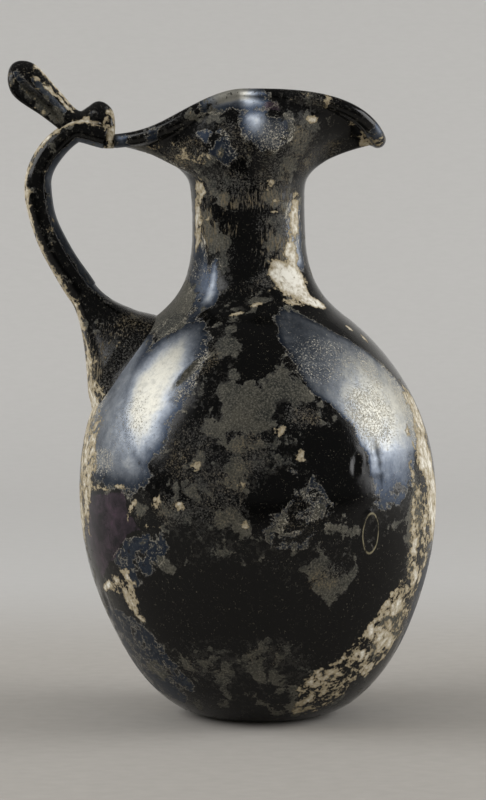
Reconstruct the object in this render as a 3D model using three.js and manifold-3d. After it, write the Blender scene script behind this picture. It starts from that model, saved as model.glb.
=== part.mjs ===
// A free-blown glass jug: one bubble with a pinched, spouted mouth, a strap handle stuck to its
// shoulder and rim, and a folded thumb-rest trailed on top of the strap.
// Millimetres, +Z up. The origin is the centre of the flat base, the spout points to +X and the
// handle to -X.
import * as THREE from "three";
import { mergeVertices } from "three/addons/utils/BufferGeometryUtils.js";
import Module from "manifold-3d";

const wasm = await Module();
wasm.setup();

// Vessel, round part: radii are of the outside, heights stand on each other from the base up
const baseRadius = 13;
const bodyRadius = 44.7;
const bellyHeight = 56.5;
const shoulderRise = 43.5;
const shoulderRadius = 23.7;
const shoulderSlope = 37.5;
const neckFootRise = 26;
const neckRadius = 14;
const neckTubeLength = 5;

// The jug was never quite true: its axis leans to the handle, and the neck sits off the body
const leanAngle = 1.15;
const neckOffset = 1;
const neckOffsetLength = 35;

// How full the curves of the body are: lengths of the pulls at the ends of each curve
const heelPull = 17;
const lowerBellyPull = 27;
const upperBellyPull = 15;
const shoulderPull = 18;
const neckFootPull = 10.5;
const neckTubePull = 14;

// Glass thickness
const baseWall = 4;
const bodyWall = 2.2;
const neckWall = 2.8;
const mouthWall = 1.8;

// Mouth: sizes of the middle of the glass, measured from the neck's axis and the neck's top
const mouthReach = 32.6;
const mouthHalfWidth = 15.5;
const spoutPinch = 0.16;
const spoutPinchPlace = 19;
const spoutPinchLength = 9;
const rearNarrowing = 0.42;
const rearNarrowFrom = -2;
const rearNarrowTo = 8.5;
const flankRise = 23.9;
const spoutTipRise = 13;
const heelTipRise = 12.2;
const heelSweep = 18.2;
const spoutFullness = 1.42;
const tipRoundness = 0.25;
const tipAngle = 12;
const flankAngle = 128;
const flankOnset = 2.2;
const flareStart = 7.5;
const tipPull = 11;
const flankPull = 13;
const beadRadius = 1.75;
const spoutBeadRadius = 2.1;
const spoutBeadFocus = 6;
const beadFoot = 0.93;
const beadFrom = -60;
const beadTurn = 300;
const rollSwell = 0.5;
const rollPlace = -15;
const rollLength = 8;

// Strap handle
const strapThickness = 6.5;
const strapWidth = 10;
const strapEndThickness = 4.6;
const strapEndRise = 0.4;
const bowReach = 17.6;
const bowDrop = 11;
const crestReach = 8.8;
const crestRise = 2.2;
const crestAngle = 30;
const wristThickness = 7.2;
const wristRise = 6.2;
const wristReach = 1.2;
const wristAngle = 124;
const clawTopDrop = 0;
const clawDrop = 27;
const clawWidth = 31;
const clawSpread = 1.5;
const clawRoot = 3;

// How far each curve of the strap runs on in the direction it leaves or comes in with
const wristPull = 10;
const bowPullBelow = 10;
const bowPullAbove = 6;
const crestPullBefore = 4;
const crestPullAfter = 2;
const clawOuterPull = 8;
const clawInnerPull = 6;
const strapEndSlope = [4, -1];
const clawTipSlope = [0.6, -11];
const clawTopSlope = [7, -3];

// Along the strap: the end of the claw, and where the bar slims to the bow and flattens to the rim
const clawShare = 0.36;
const bowShare = 0.25;
const flatFrom = 0.45;
const flatTo = 0.8;

// Thumb-rest: the middle of its ribbon of glass, measured from the handle end of the rim
const trailThickness = 2.7;
const trailWidth = 6.6;
const trailSlope = 32;
const curlSwell = 1.1;
const curlPlace = 0.2;
const curlLength = 0.09;
const curlRise = 7.3;
const curlReach = 4.2;
const dipRise = 4.9;
const dipReach = 8.6;
const foldRise = 18.4;
const foldReach = 23.2;
const foldGap = 4.2;
const landingReach = 12.4;
const landingRise = 4.2;
const claspWidth = 9.6;
const claspDrop = 1.8;
const claspReach = 1.6;
const claspTop = 0.16;

// Corners of the bars: 1 is a plain oval, less is squarer
const ovalPower = 0.8;

// Room left between pieces of glass that are fused on the real jug
const seam = 0.3;

// How finely the surfaces are divided
const vesselSides = 48;
const mouthSteps = 8;
const beadSteps = 8;
const strapSides = 18;
const strapSteps = 34;
const trailSides = 14;
const trailSteps = 52;

const degrees = Math.PI / 180;
const shoulderHeight = bellyHeight + shoulderRise;
const neckFootTop = shoulderHeight + neckFootRise;
const neckTop = neckFootTop + neckTubeLength;
const lean = Math.tan(leanAngle * degrees);

// The round part of the vessel, as curves of radius and height

function curve(startRadius, startHeight, startPull, endRadius, endHeight, endPull) {
  return new THREE.CubicBezierCurve(
    new THREE.Vector2(startRadius, startHeight),
    new THREE.Vector2(startRadius + startPull[0], startHeight + startPull[1]),
    new THREE.Vector2(endRadius - endPull[0], endHeight - endPull[1]),
    new THREE.Vector2(endRadius, endHeight),
  );
}

const slopeIn = -Math.cos(shoulderSlope * degrees);
const slopeUp = Math.sin(shoulderSlope * degrees);

const lowerBody = curve(
  baseRadius, 0, [heelPull, 0],
  bodyRadius, bellyHeight, [0, lowerBellyPull],
);
const upperBody = curve(
  bodyRadius, bellyHeight, [0, upperBellyPull],
  shoulderRadius, shoulderHeight, [shoulderPull * slopeIn, shoulderPull * slopeUp],
);
const neckFoot = curve(
  shoulderRadius, shoulderHeight, [neckFootPull * slopeIn, neckFootPull * slopeUp],
  neckRadius, neckFootTop, [0, neckTubePull],
);

// One stretch of the wall: places on the outside with the direction out of the glass
function stretch(line, count, wallFrom, wallTo, first = 1) {
  const places = [];
  for (let step = first; step <= count; step += 1) {
    const share = step / count;
    const place = line.getPoint(share);
    const along = line.getTangent(share);
    places.push({
      radius: place.x,
      height: place.y,
      outward: along.y,
      upward: -along.x,
      wall: THREE.MathUtils.lerp(wallFrom, wallTo, share),
    });
  }
  return places;
}

const roundWall = [
  ...stretch(lowerBody, 11, baseWall, bodyWall, 0),
  ...stretch(upperBody, 9, bodyWall, bodyWall),
  ...stretch(neckFoot, 6, bodyWall, neckWall),
];

// Radius of the outside at a height on the shoulder, for what is stuck on there
function shoulderRadiusAt(height) {
  let low = 0;
  let high = 1;
  for (let step = 0; step < 30; step += 1) {
    const middle = (low + high) / 2;
    if (upperBody.getPoint(middle).y < height) {
      low = middle;
    } else {
      high = middle;
    }
  }
  return upperBody.getPoint(low).x;
}

// The mouth: each meridian leaves the neck upright and bends to its own place on the rim.
// The spout and the handle end lie out flat, the two flanks fold up and in.

// Rises from 0 at the spout and the handle end to 1 at the flanks, round at both ends
function flankShare(azimuth) {
  const grow = Math.hypot(Math.sin(azimuth), tipRoundness) - tipRoundness;
  return grow / (Math.hypot(1, tipRoundness) - tipRoundness);
}

function rimPlace(azimuth) {
  const along = mouthReach * Math.cos(azimuth);
  const pinch = spoutPinch * Math.exp(-(((along - spoutPinchPlace) / spoutPinchLength) ** 2));
  const swelling = THREE.MathUtils.smoothstep(along, rearNarrowFrom, rearNarrowTo);
  const rear = rearNarrowing * (1 - swelling);
  const across = mouthHalfWidth * Math.sin(azimuth) * (1 - pinch) * (1 - rear);
  const fold = 1 - (1 - flankShare(azimuth)) ** spoutFullness;
  const spoutRise = spoutTipRise + (flankRise - spoutTipRise) * fold;
  const heelRise = heelTipRise + (flankRise - heelTipRise) * Math.exp(-((along / heelSweep) ** 2));
  return new THREE.Vector3(along, across, neckTop + (along > 0 ? spoutRise : heelRise));
}

function mouthMiddle(azimuth, share) {
  const side = flankShare(azimuth) ** flankOnset;
  const start = new THREE.Vector3(Math.cos(azimuth), Math.sin(azimuth), 0);
  start.multiplyScalar(neckRadius - neckWall / 2).setZ(neckTop);
  const startPull = start.clone();
  startPull.z += flareStart;
  const end = rimPlace(azimuth);
  const angle = THREE.MathUtils.lerp(tipAngle, flankAngle, side) * degrees;
  const pull = THREE.MathUtils.lerp(tipPull, flankPull, side);
  const out = new THREE.Vector3(
    mouthHalfWidth * Math.cos(azimuth),
    mouthReach * Math.sin(azimuth),
    0,
  ).normalize();
  const endPull = end.clone().addScaledVector(out, -pull * Math.cos(angle));
  endPull.z -= pull * Math.sin(angle);
  return new THREE.CubicBezierCurve3(start, startPull, endPull, end).getPoint(share);
}

// Directions at a place of the mouth: out of the glass, and up along the glass
function mouthFrame(azimuth, share) {
  const small = 0.001;
  const from = Math.min(share, 1 - small);
  const rising = mouthMiddle(azimuth, from + small).sub(mouthMiddle(azimuth, from));
  const turning = mouthMiddle(azimuth + small, share).sub(mouthMiddle(azimuth - small, share));
  const outward = turning.clone().cross(rising).normalize();
  const upward = outward.clone().cross(turning).normalize();
  return { outward, upward };
}

function mouthPlace(azimuth, share, across, along) {
  const { outward, upward } = mouthFrame(azimuth, share);
  return mouthMiddle(azimuth, share).addScaledVector(outward, across).addScaledVector(upward, along);
}

function leaned(place) {
  const neckShare = THREE.MathUtils.smoothstep(
    place.z,
    shoulderHeight - neckOffsetLength / 2,
    shoulderHeight + neckOffsetLength / 2,
  );
  return place.setX(place.x - lean * place.z - neckOffset * neckShare);
}

// Where the outline of the wall is at one azimuth: a station holds a function of the azimuth
function roundStation({ radius, height, outward, upward, wall }, depth) {
  return (azimuth) => {
    const reach = Math.max(radius - outward * depth * wall, 0);
    const level = height - upward * depth * wall;
    return new THREE.Vector3(reach * Math.cos(azimuth), reach * Math.sin(azimuth), level);
  };
}

function mouthStation(share, side, grow) {
  const half = THREE.MathUtils.lerp(neckWall, mouthWall, share) / 2 + grow;
  return (azimuth) => mouthPlace(azimuth, share, side * half, 0);
}

function beadStation(angle, grow) {
  return (azimuth) => {
    const spoutShare = Math.max(Math.cos(azimuth), 0) ** spoutBeadFocus;
    const fromRoll = mouthReach * Math.cos(azimuth) - rollPlace;
    const swell = rollSwell * Math.exp(-((fromRoll / rollLength) ** 2));
    const radius = THREE.MathUtils.lerp(beadRadius, spoutBeadRadius, spoutShare) + swell + grow;
    return mouthPlace(azimuth, 1, radius * Math.cos(angle), radius * Math.sin(angle));
  };
}

// The stations of the outside from the base up to the rim; grow pushes them out of the glass
function outsideStations(grow) {
  const stations = roundWall.map((place) => roundStation(place, -grow / place.wall));
  for (let step = 0; step <= mouthSteps; step += 1) {
    stations.push(mouthStation(beadFoot * step / mouthSteps, 1, grow));
  }
  return stations;
}

// The bead goes round from the outside to the inside of the glass
function beadStations(grow) {
  const stations = [];
  for (let step = 0; step <= beadSteps; step += 1) {
    stations.push(beadStation((beadFrom + beadTurn * step / beadSteps) * degrees, grow));
  }
  return stations;
}

function axisStation(height) {
  return () => new THREE.Vector3(0, 0, height);
}

// A lathe turns the stations' grid, then each of its corners goes to its own place
function turned(stations) {
  const outline = stations.map((station, index) => new THREE.Vector2(1, index));
  const geometry = new THREE.LatheGeometry(outline, vesselSides);
  const positions = geometry.getAttribute("position");
  for (let corner = 0; corner < positions.count; corner += 1) {
    const side = Math.floor(corner / stations.length);
    const azimuth = 2 * Math.PI * (side % vesselSides) / vesselSides;
    const place = leaned(stations[corner % stations.length](azimuth));
    positions.setXYZ(corner, place.x, place.y, place.z);
  }
  return geometry;
}

const insideStations = [];
for (let step = mouthSteps - 1; step >= 0; step -= 1) {
  insideStations.push(mouthStation(beadFoot * step / mouthSteps, -1, 0));
}
for (const place of [...roundWall].reverse().slice(1)) {
  insideStations.push(roundStation(place, 1));
}

const vesselGeometry = turned([
  axisStation(0),
  ...outsideStations(0),
  ...beadStations(0),
  ...insideStations,
  axisStation(baseWall),
]);

// Solids for joining and cutting

function solid(geometry) {
  const bare = geometry.clone();
  bare.deleteAttribute("normal");
  bare.deleteAttribute("uv");
  const merged = mergeVertices(bare, 0.0005);
  return new wasm.Manifold(new wasm.Mesh({
    numProp: 3,
    vertProperties: new Float32Array(merged.getAttribute("position").array),
    triVerts: new Uint32Array(merged.getIndex().array),
  }));
}

function geometryOf(body) {
  const mesh = body.getMesh();
  const geometry = new THREE.BufferGeometry();
  geometry.setAttribute("position", new THREE.BufferAttribute(mesh.vertProperties, 3));
  geometry.setIndex(new THREE.BufferAttribute(mesh.triVerts, 1));
  geometry.computeVertexNormals();
  return geometry;
}

// A round bar of unit size whose every corner is put in place: along runs from 0 to 1
function shapedBar(sides, steps, place) {
  const geometry = new THREE.CylinderGeometry(1, 1, 1, sides, steps);
  const positions = geometry.getAttribute("position");
  for (let corner = 0; corner < positions.count; corner += 1) {
    const across = positions.getX(corner);
    const sideways = positions.getZ(corner);
    const along = positions.getY(corner) + 0.5;
    const reach = Math.hypot(across, sideways);
    const spot = place(along, Math.atan2(sideways, across), reach);
    positions.setXYZ(corner, spot.x, spot.y, spot.z);
  }
  return geometry;
}

// A soft-cornered oval: how far out at an angle, as shares of its two half sizes
function softOval(angle) {
  const across = Math.sign(Math.cos(angle)) * Math.abs(Math.cos(angle)) ** ovalPower;
  const sideways = Math.sign(Math.sin(angle)) * Math.abs(Math.sin(angle)) ** ovalPower;
  return { across, sideways };
}

function inPlane(x, z) {
  return new THREE.Vector3(x, 0, z);
}

function scaled(direction, length) {
  return direction.clone().multiplyScalar(length);
}

function bend(from, fromPull, to, toPull) {
  return new THREE.CubicBezierCurve3(from, from.clone().add(fromPull), to.clone().sub(toPull), to);
}

// Strap handle: it stands on the shoulder at the claw and ends against the rim's handle end

const rimTip = leaned(rimPlace(Math.PI));
const rimBack = rimTip.x - beadRadius;

function shoulderSpot(height, depth) {
  const radius = shoulderRadiusAt(height) - depth;
  return leaned(inPlane(-radius, height - depth));
}

const clawTop = shoulderSpot(shoulderHeight - clawTopDrop, clawRoot);
const clawTip = shoulderSpot(shoulderHeight - clawTopDrop - clawDrop, clawRoot);
const wrist = inPlane(clawTip.x - clawRoot - wristReach, shoulderHeight + wristRise);
const bow = inPlane(rimBack - bowReach, rimTip.z - bowDrop);
const crest = inPlane(rimBack - crestReach, rimTip.z + crestRise);
const strapEnd = inPlane(rimTip.x - claspReach - trailThickness / 2, rimTip.z + strapEndRise);
const wristTurn = wristAngle * degrees;
const wristUp = inPlane(Math.cos(wristTurn), Math.sin(wristTurn));
const wristOut = inPlane(-wristUp.z, wristUp.x);

const strapLine = new THREE.CurvePath();
const crestTurn = crestAngle * degrees;
const crestUp = inPlane(Math.cos(crestTurn), Math.sin(crestTurn));
strapLine.add(bend(wrist, scaled(wristUp, wristPull), bow, inPlane(0, bowPullBelow)));
strapLine.add(bend(bow, inPlane(0, bowPullAbove), crest, scaled(crestUp, crestPullBefore)));
strapLine.add(bend(crest, scaled(crestUp, crestPullAfter), strapEnd, inPlane(...strapEndSlope)));

const wristOuter = wrist.clone().addScaledVector(wristOut, wristThickness / 2);
const wristInner = wrist.clone().addScaledVector(wristOut, -wristThickness / 2);
const clawOuter = bend(
  wristOuter, scaled(wristUp, -clawOuterPull),
  clawTip, inPlane(...clawTipSlope),
);
const clawInner = bend(
  wristInner, scaled(wristUp, -clawInnerPull),
  clawTop, inPlane(...clawTopSlope),
);

function strapPlace(grow) {
  return (along, angle, reach) => {
    let middle;
    let out;
    let halfThickness;
    let halfWidth;
    if (along < clawShare) {
      const share = 1 - along / clawShare;
      const outer = clawOuter.getPoint(share);
      const inner = clawInner.getPoint(share);
      middle = outer.clone().lerp(inner, 0.5);
      out = outer.clone().sub(inner).normalize();
      halfThickness = outer.distanceTo(inner) / 2;
      halfWidth = THREE.MathUtils.lerp(strapWidth, clawWidth, share ** clawSpread) / 2;
    } else {
      const share = (along - clawShare) / (1 - clawShare);
      middle = strapLine.getPoint(share);
      const up = strapLine.getTangent(share);
      out = inPlane(-up.z, up.x);
      const slim = THREE.MathUtils.smoothstep(share, 0, bowShare);
      const flat = THREE.MathUtils.smoothstep(share, flatFrom, flatTo);
      const thick = THREE.MathUtils.lerp(wristThickness, strapThickness, slim);
      halfThickness = THREE.MathUtils.lerp(thick, strapEndThickness, flat) / 2;
      halfWidth = strapWidth / 2;
    }
    const oval = softOval(angle);
    const spot = middle.addScaledVector(out, reach * oval.across * (halfThickness + grow));
    spot.y += reach * oval.sideways * (halfWidth + grow);
    return spot;
  };
}

// Thumb-rest: a ribbon that clasps the rim's handle end, curls, dips onto the strap, runs out to
// the tall fold and comes back under itself to land on the strap

const legOut = inPlane(dipReach - foldReach, foldRise - dipRise).normalize();
const legSide = inPlane(-legOut.z, legOut.x);
const foldTop = inPlane(rimTip.x - foldReach, rimTip.z + foldRise);
const dip = inPlane(rimTip.x - dipReach, rimTip.z + dipRise);
const curlTop = inPlane(rimTip.x - curlReach, rimTip.z + curlRise);
const landing = inPlane(rimTip.x - landingReach, rimTip.z + landingRise);
const foldTurn = foldTop.clone().addScaledVector(legOut, -foldGap / 2);

const farLeg = foldTurn.clone().addScaledVector(legSide, foldGap);

const trailLine = new THREE.CatmullRomCurve3([
  inPlane(rimTip.x - claspReach, rimTip.z - claspDrop),
  inPlane(rimTip.x - claspReach, rimTip.z + curlRise * 0.23),
  inPlane(rimTip.x - claspReach, rimTip.z + curlRise * 0.57),
  inPlane(rimTip.x - claspReach - 0.6, rimTip.z + curlRise * 0.85),
  curlTop,
  inPlane(curlTop.x - 1.8, rimTip.z + curlRise * 0.85),
  dip,
  inPlane(dip.x - 2, dip.z + 0.9),
  dip.clone().lerp(foldTurn, 0.5),
  foldTurn,
  foldTop.clone().addScaledVector(legSide, foldGap / 2),
  farLeg,
  farLeg.clone().lerp(landing, 0.55),
  landing,
], false, "centripetal");

// The ribbon's near edge lies lower than its far edge, except where it clasps the rim
function trailPlace(along, angle, reach) {
  const spot = trailLine.getPointAt(along);
  const up = trailLine.getTangentAt(along);
  const oval = softOval(angle);
  const free = THREE.MathUtils.smoothstep(along, 0, claspTop);
  const slope = trailSlope * free * degrees;
  const width = THREE.MathUtils.lerp(claspWidth, trailWidth, free);
  const swell = curlSwell * Math.exp(-(((along - curlPlace) / curlLength) ** 2));
  const across = reach * oval.across * (trailThickness + swell) / 2;
  const sideways = reach * oval.sideways * width / 2;
  spot.addScaledVector(inPlane(-up.z, up.x), across);
  spot.y += sideways * Math.cos(slope);
  spot.z += sideways * Math.sin(slope);
  return spot;
}

// The vessel with its mouth filled and its skin pushed out by the seam, to cut what touches it
const vesselCutter = solid(turned([
  axisStation(-seam),
  ...outsideStations(seam),
  ...beadStations(seam),
  axisStation(neckTop + heelTipRise),
]));
const strapCutter = solid(shapedBar(strapSides, strapSteps, strapPlace(seam)));
const strap = solid(shapedBar(strapSides, strapSteps, strapPlace(0))).subtract(vesselCutter);
const trail = solid(shapedBar(trailSides, trailSteps, trailPlace))
  .subtract(vesselCutter)
  .subtract(strapCutter);

// The three gathers of glass

function darkGlass(colour) {
  return new THREE.MeshStandardMaterial({ color: colour, roughness: 0.18, metalness: 0 });
}

function piece(name, geometry, material) {
  const mesh = new THREE.Mesh(geometry, material);
  mesh.name = name;
  return mesh;
}

const jug = new THREE.Group();
jug.add(piece("blown_vessel", vesselGeometry, darkGlass(0x1c1d1b)));
jug.add(piece("strap_handle", geometryOf(strap), darkGlass(0x222220)));
jug.add(piece("thumb_rest", geometryOf(trail), darkGlass(0x2a2925)));

export default jug;
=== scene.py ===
# %% [markdown]
# # A weathered glass jug
#
# This lesson dresses a small free-blown jug of dark glass: one bubble with a pinched mouth, a
# strap handle stuck to its shoulder and rim, and a folded thumb-rest on top. It spent a long time
# in the ground, so the glass is near black, and films and crusts of decayed glass cover parts of
# it. The CAD model is the fixed frame. Here the glass gets its dents, ridges and weathering.

import math
import random
from functools import partial

import bpy
import numpy as np
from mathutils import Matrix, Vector


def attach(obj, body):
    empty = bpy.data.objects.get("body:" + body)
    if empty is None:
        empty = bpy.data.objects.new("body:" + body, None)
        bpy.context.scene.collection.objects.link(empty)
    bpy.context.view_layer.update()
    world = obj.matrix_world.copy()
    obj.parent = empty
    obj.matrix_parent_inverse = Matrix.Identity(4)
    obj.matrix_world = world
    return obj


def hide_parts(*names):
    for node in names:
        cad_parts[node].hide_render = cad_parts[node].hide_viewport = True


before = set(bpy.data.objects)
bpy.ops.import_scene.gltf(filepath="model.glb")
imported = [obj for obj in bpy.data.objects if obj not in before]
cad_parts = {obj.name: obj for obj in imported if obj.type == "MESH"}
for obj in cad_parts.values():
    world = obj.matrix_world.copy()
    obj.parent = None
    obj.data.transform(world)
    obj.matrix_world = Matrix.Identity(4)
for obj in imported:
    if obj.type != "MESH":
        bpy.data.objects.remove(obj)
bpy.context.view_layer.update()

MM = 0.001

# %% [markdown]
# ## The camera
#
# The photo was taken from a little above the jug's middle with a long lens, which keeps the sides
# of the body nearly parallel. A camera 85 cm away, level with the mouth and tilted down a little,
# gives the same view. A tilt was chosen over a lens shift because it stays right from other sides.

# %% Camera
camera_place = Vector((-4.75, -850, 150)) * MM
camera_target = Vector((-4.75, 0, 79)) * MM
view_height = 200.4 * MM

lens = bpy.data.cameras.new("camera")
lens.sensor_fit = "AUTO"
lens.sensor_width = 36
lens.lens = lens.sensor_width * (camera_target - camera_place).length / view_height
camera = bpy.data.objects.new("camera", lens)
camera.location = camera_place
camera.rotation_euler = (camera_target - camera_place).to_track_quat("-Z", "Y").to_euler()
bpy.context.scene.collection.objects.link(camera)
bpy.context.scene.camera = camera
print("focal length", round(lens.lens, 1), "mm")

# %% [markdown]
# ## The curve of the body
#
# The bubble is round up to the top of its neck, so its wall is a curve of radius and height. Three
# bends are enough: heel to belly, belly to shoulder, shoulder to neck. They have the same sizes as
# the CAD model, but are divided far more finely, so that no edge shows in a reflection.

# %% Round part of the wall, in millimetres
base_radius = 13.0
body_radius = 44.7
belly_height = 56.5
shoulder_height = 100.0
shoulder_radius = 23.7
shoulder_slope = math.radians(37.5)
neck_foot_top = 126.0
neck_radius = 14.0
neck_top = 131.0
base_wall = 4.0
body_wall = 2.2
neck_wall = 2.8

# How full the curves are: lengths of the pulls at the ends of each curve
heel_pull = 17
lower_belly_pull = 27
upper_belly_pull = 15
shoulder_pull = 18
neck_foot_pull = 10.5
neck_tube_pull = 14


def bezier(start, pull_from_start, pull_to_end, end, share):
    rest = 1 - share
    return (rest**3 * start + 3 * rest**2 * share * pull_from_start
            + 3 * rest * share**2 * pull_to_end + share**3 * end)


def soft_step(value, low, high):
    share = np.clip((value - low) / (high - low), 0, 1)
    return share * share * (3 - 2 * share)


def mix(low, high, share):
    return low + (high - low) * share


up_slope = np.array([-math.cos(shoulder_slope), math.sin(shoulder_slope)])
heel = np.array([base_radius, 0.0])
belly = np.array([body_radius, belly_height])
shoulder = np.array([shoulder_radius, shoulder_height])
neck_foot = np.array([neck_radius, neck_foot_top])

# Each bend with the wall's thickness at its two ends and the steps it is divided into
wall_bends = [
    ((heel, heel + [heel_pull, 0], belly - [0, lower_belly_pull], belly), base_wall, body_wall, 96),
    ((belly, belly + [0, upper_belly_pull], shoulder - shoulder_pull * up_slope, shoulder),
     body_wall, body_wall, 80),
    ((shoulder, shoulder + neck_foot_pull * up_slope, neck_foot - [0, neck_tube_pull], neck_foot),
     body_wall, neck_wall, 44),
]
wall_places = []
for bend, wall_from, wall_to, steps in wall_bends:
    for step in range(steps):
        share = step / steps
        ahead = bezier(*bend, share + 0.001) - bezier(*bend, share)
        ahead /= np.linalg.norm(ahead)
        outward = np.array([ahead[1], -ahead[0]])
        wall_places.append((bezier(*bend, share), outward, mix(wall_from, wall_to, share)))
wall_radii = np.array([place[0] for place, outward, wall in wall_places])
wall_heights = np.array([place[1] for place, outward, wall in wall_places])
print("places up the wall", len(wall_places))

# %% [markdown]
# ## The mouth
#
# On the real jug the hot rim was pulled out to a spout and its two flanks were folded up and in.
# Each upright line of the neck therefore ends at its own place on the rim. A bend per azimuth does
# this: it leaves the neck upright and comes into the rim flat at the spout, steep at the flanks.

# %% Mouth, in millimetres
mouth_reach = 32.6
mouth_half_width = 15.5
spout_pinch = 0.16
spout_pinch_place = 19
spout_pinch_length = 9
rear_narrowing = 0.42
rear_narrow_from = -2
rear_narrow_to = 8.5
flank_rise = 23.9
spout_tip_rise = 13.0
heel_tip_rise = 12.2
heel_sweep = 18.2
spout_fullness = 1.42
tip_roundness = 0.25
tip_angle = 12
flank_angle = 128
flank_onset = 2.2
flare_start = 7.5
tip_pull = 11
flank_pull = 13
mouth_wall = 1.8
bead_radius = 1.75
spout_bead_radius = 2.1
spout_bead_focus = 6
bead_from = -60
bead_to = 240
roll_growth = 0.5
roll_place = -15
roll_length = 8


def flank_share(azimuth):
    grow = np.hypot(np.sin(azimuth), tip_roundness) - tip_roundness
    return grow / (math.hypot(1, tip_roundness) - tip_roundness)


def roll_swell(azimuth):
    """How much thicker the rolled rim is halfway along the rear part than at its ends."""
    along = mouth_reach * np.cos(azimuth)
    return roll_growth * np.exp(-(((along - roll_place) / roll_length) ** 2))


def rim_place(azimuth):
    along = mouth_reach * np.cos(azimuth)
    pinch = spout_pinch * np.exp(-(((along - spout_pinch_place) / spout_pinch_length) ** 2))
    rear = rear_narrowing * (1 - soft_step(along, rear_narrow_from, rear_narrow_to))
    across = mouth_half_width * np.sin(azimuth) * (1 - pinch) * (1 - rear)
    fold = 1 - (1 - flank_share(azimuth)) ** spout_fullness
    spout_rise = mix(spout_tip_rise, flank_rise, fold)
    heel_rise = mix(heel_tip_rise, flank_rise, np.exp(-((along / heel_sweep) ** 2)))
    height = neck_top + np.where(along > 0, spout_rise, heel_rise)
    return np.stack([along, across, height], axis=-1)


def mouth_middle(azimuth, share):
    flank = (flank_share(azimuth) ** flank_onset)[..., None]
    radius = neck_radius - neck_wall / 2
    level = np.full_like(azimuth, neck_top)
    start = np.stack([radius * np.cos(azimuth), radius * np.sin(azimuth), level], axis=-1)
    end = rim_place(azimuth)
    angle = np.radians(mix(tip_angle, flank_angle, flank))
    pull = mix(tip_pull, flank_pull, flank)
    out = np.stack([mouth_half_width * np.cos(azimuth), mouth_reach * np.sin(azimuth),
                    np.zeros_like(azimuth)], axis=-1)
    out /= np.linalg.norm(out, axis=-1, keepdims=True)
    upright = np.array([0.0, 0.0, 1.0])
    comes_in = out * np.cos(angle) + upright * np.sin(angle)
    return bezier(start, start + flare_start * upright, end - pull * comes_in, end, share)


def unit(vectors):
    return vectors / np.linalg.norm(vectors, axis=-1, keepdims=True)


def mouth_place(azimuth, share, across, along):
    small = 0.001
    base = min(share, 1 - small)
    rising = mouth_middle(azimuth, base + small) - mouth_middle(azimuth, base)
    turning = mouth_middle(azimuth + small, share) - mouth_middle(azimuth - small, share)
    outward = unit(np.cross(turning, rising))
    upward = unit(np.cross(outward, turning))
    return (mouth_middle(azimuth, share) + outward * np.asarray(across)[..., None]
            + upward * np.asarray(along)[..., None])


print("rim tips", rim_place(np.array([0.0, math.pi])).round(1).tolist())

# %% [markdown]
# ## One grid round the whole glass
#
# The outside, the rounded rim and the inside are one skin of glass. They are laid out as one grid
# of stations, each a ring of places, which starts under the base and ends on the floor inside.
# The base is pushed in a little, as a blower does so that the jug stands steady on a ring.

# %% Rings of the vessel
vessel_sides = 288
ring_azimuths = 2 * math.pi * np.arange(vessel_sides) / vessel_sides
axis_lean = math.tan(math.radians(1.15))
neck_offset = 1.0
neck_offset_length = 35
kick_height = 1.5
kick_radius = 10.5
floor_height = base_wall + kick_height
base_rows = 24
mouth_steps = 64
rim_steps = 25
inner_mouth_steps = 40
bead_foot = 0.93
seam_from = 118
seam_to = 139
seam_turns = 60


def leaned(places):
    """Places on the jug as it stands: its axis leans to the handle, and the neck sits off it."""
    moved = np.array(places, dtype=float)
    neck_share = soft_step(moved[..., 2], shoulder_height - neck_offset_length / 2,
                           shoulder_height + neck_offset_length / 2)
    moved[..., 0] -= axis_lean * moved[..., 2] + neck_offset * neck_share
    return moved


def ring(radius, height):
    return np.stack([radius * np.cos(ring_azimuths), radius * np.sin(ring_azimuths),
                     np.full(vessel_sides, height)], axis=-1)


def kick(radius):
    return kick_height * max(0.0, 1 - (radius / kick_radius) ** 2) ** 2


outside = [ring(radius, kick(radius)) for radius in np.linspace(0.5, base_radius, base_rows)[:-1]]
outside += [ring(*place) for place, outward, wall in wall_places]
for step in range(mouth_steps + 1):
    share = bead_foot * step / mouth_steps
    half_wall = mix(neck_wall, mouth_wall, share) / 2
    outside.append(mouth_place(ring_azimuths, share, half_wall, 0))

towards_spout = np.clip(np.cos(ring_azimuths), 0, 1)
bead = mix(bead_radius, spout_bead_radius, towards_spout**spout_bead_focus)
bead += roll_swell(ring_azimuths)
rim_rings = []
for step in range(1, rim_steps):
    angle = math.radians(mix(bead_from, bead_to, step / rim_steps))
    across = bead * math.cos(angle)
    along = bead * math.sin(angle)
    rim_rings.append(mouth_place(ring_azimuths, 1.0, across, along))

inside = []
for step in range(inner_mouth_steps, -1, -1):
    share = bead_foot * step / inner_mouth_steps
    half_wall = mix(neck_wall, mouth_wall, share) / 2
    inside.append(mouth_place(ring_azimuths, share, -half_wall, 0))
for place, outward, wall in wall_places[::-3]:
    radius, height = place - outward * wall
    if radius > 1:
        inside.append(ring(radius, height))
inside.append(ring(1.0, floor_height))

# Where the mouth's bends take over from the neck, the rows are evened out, so that no seam shows
outside = np.array(outside)
row_heights = outside[:, 0, 2]
seam_rows = np.flatnonzero((row_heights > seam_from) & (row_heights < seam_to))[1:-1]
for turn in range(seam_turns):
    beside = outside[seam_rows - 1] + outside[seam_rows + 1]
    outside[seam_rows] = 0.5 * outside[seam_rows] + 0.25 * beside
outside = leaned(outside)
rim_rings = leaned(np.array(rim_rings))
inside = leaned(np.array(inside))
print("rings outside", len(outside), "rim", len(rim_rings), "inside", len(inside))

# %% [markdown]
# ## Dents and waves in the glass
#
# Free-blown glass is never quite true. It has slow waves where it cooled, and this jug has a few
# pits where a bubble or a stone in the glass once sat. They are moved into the grid itself, because
# near-black glass shows its shape only by reflections, and a bump map would miss the outline.

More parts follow.
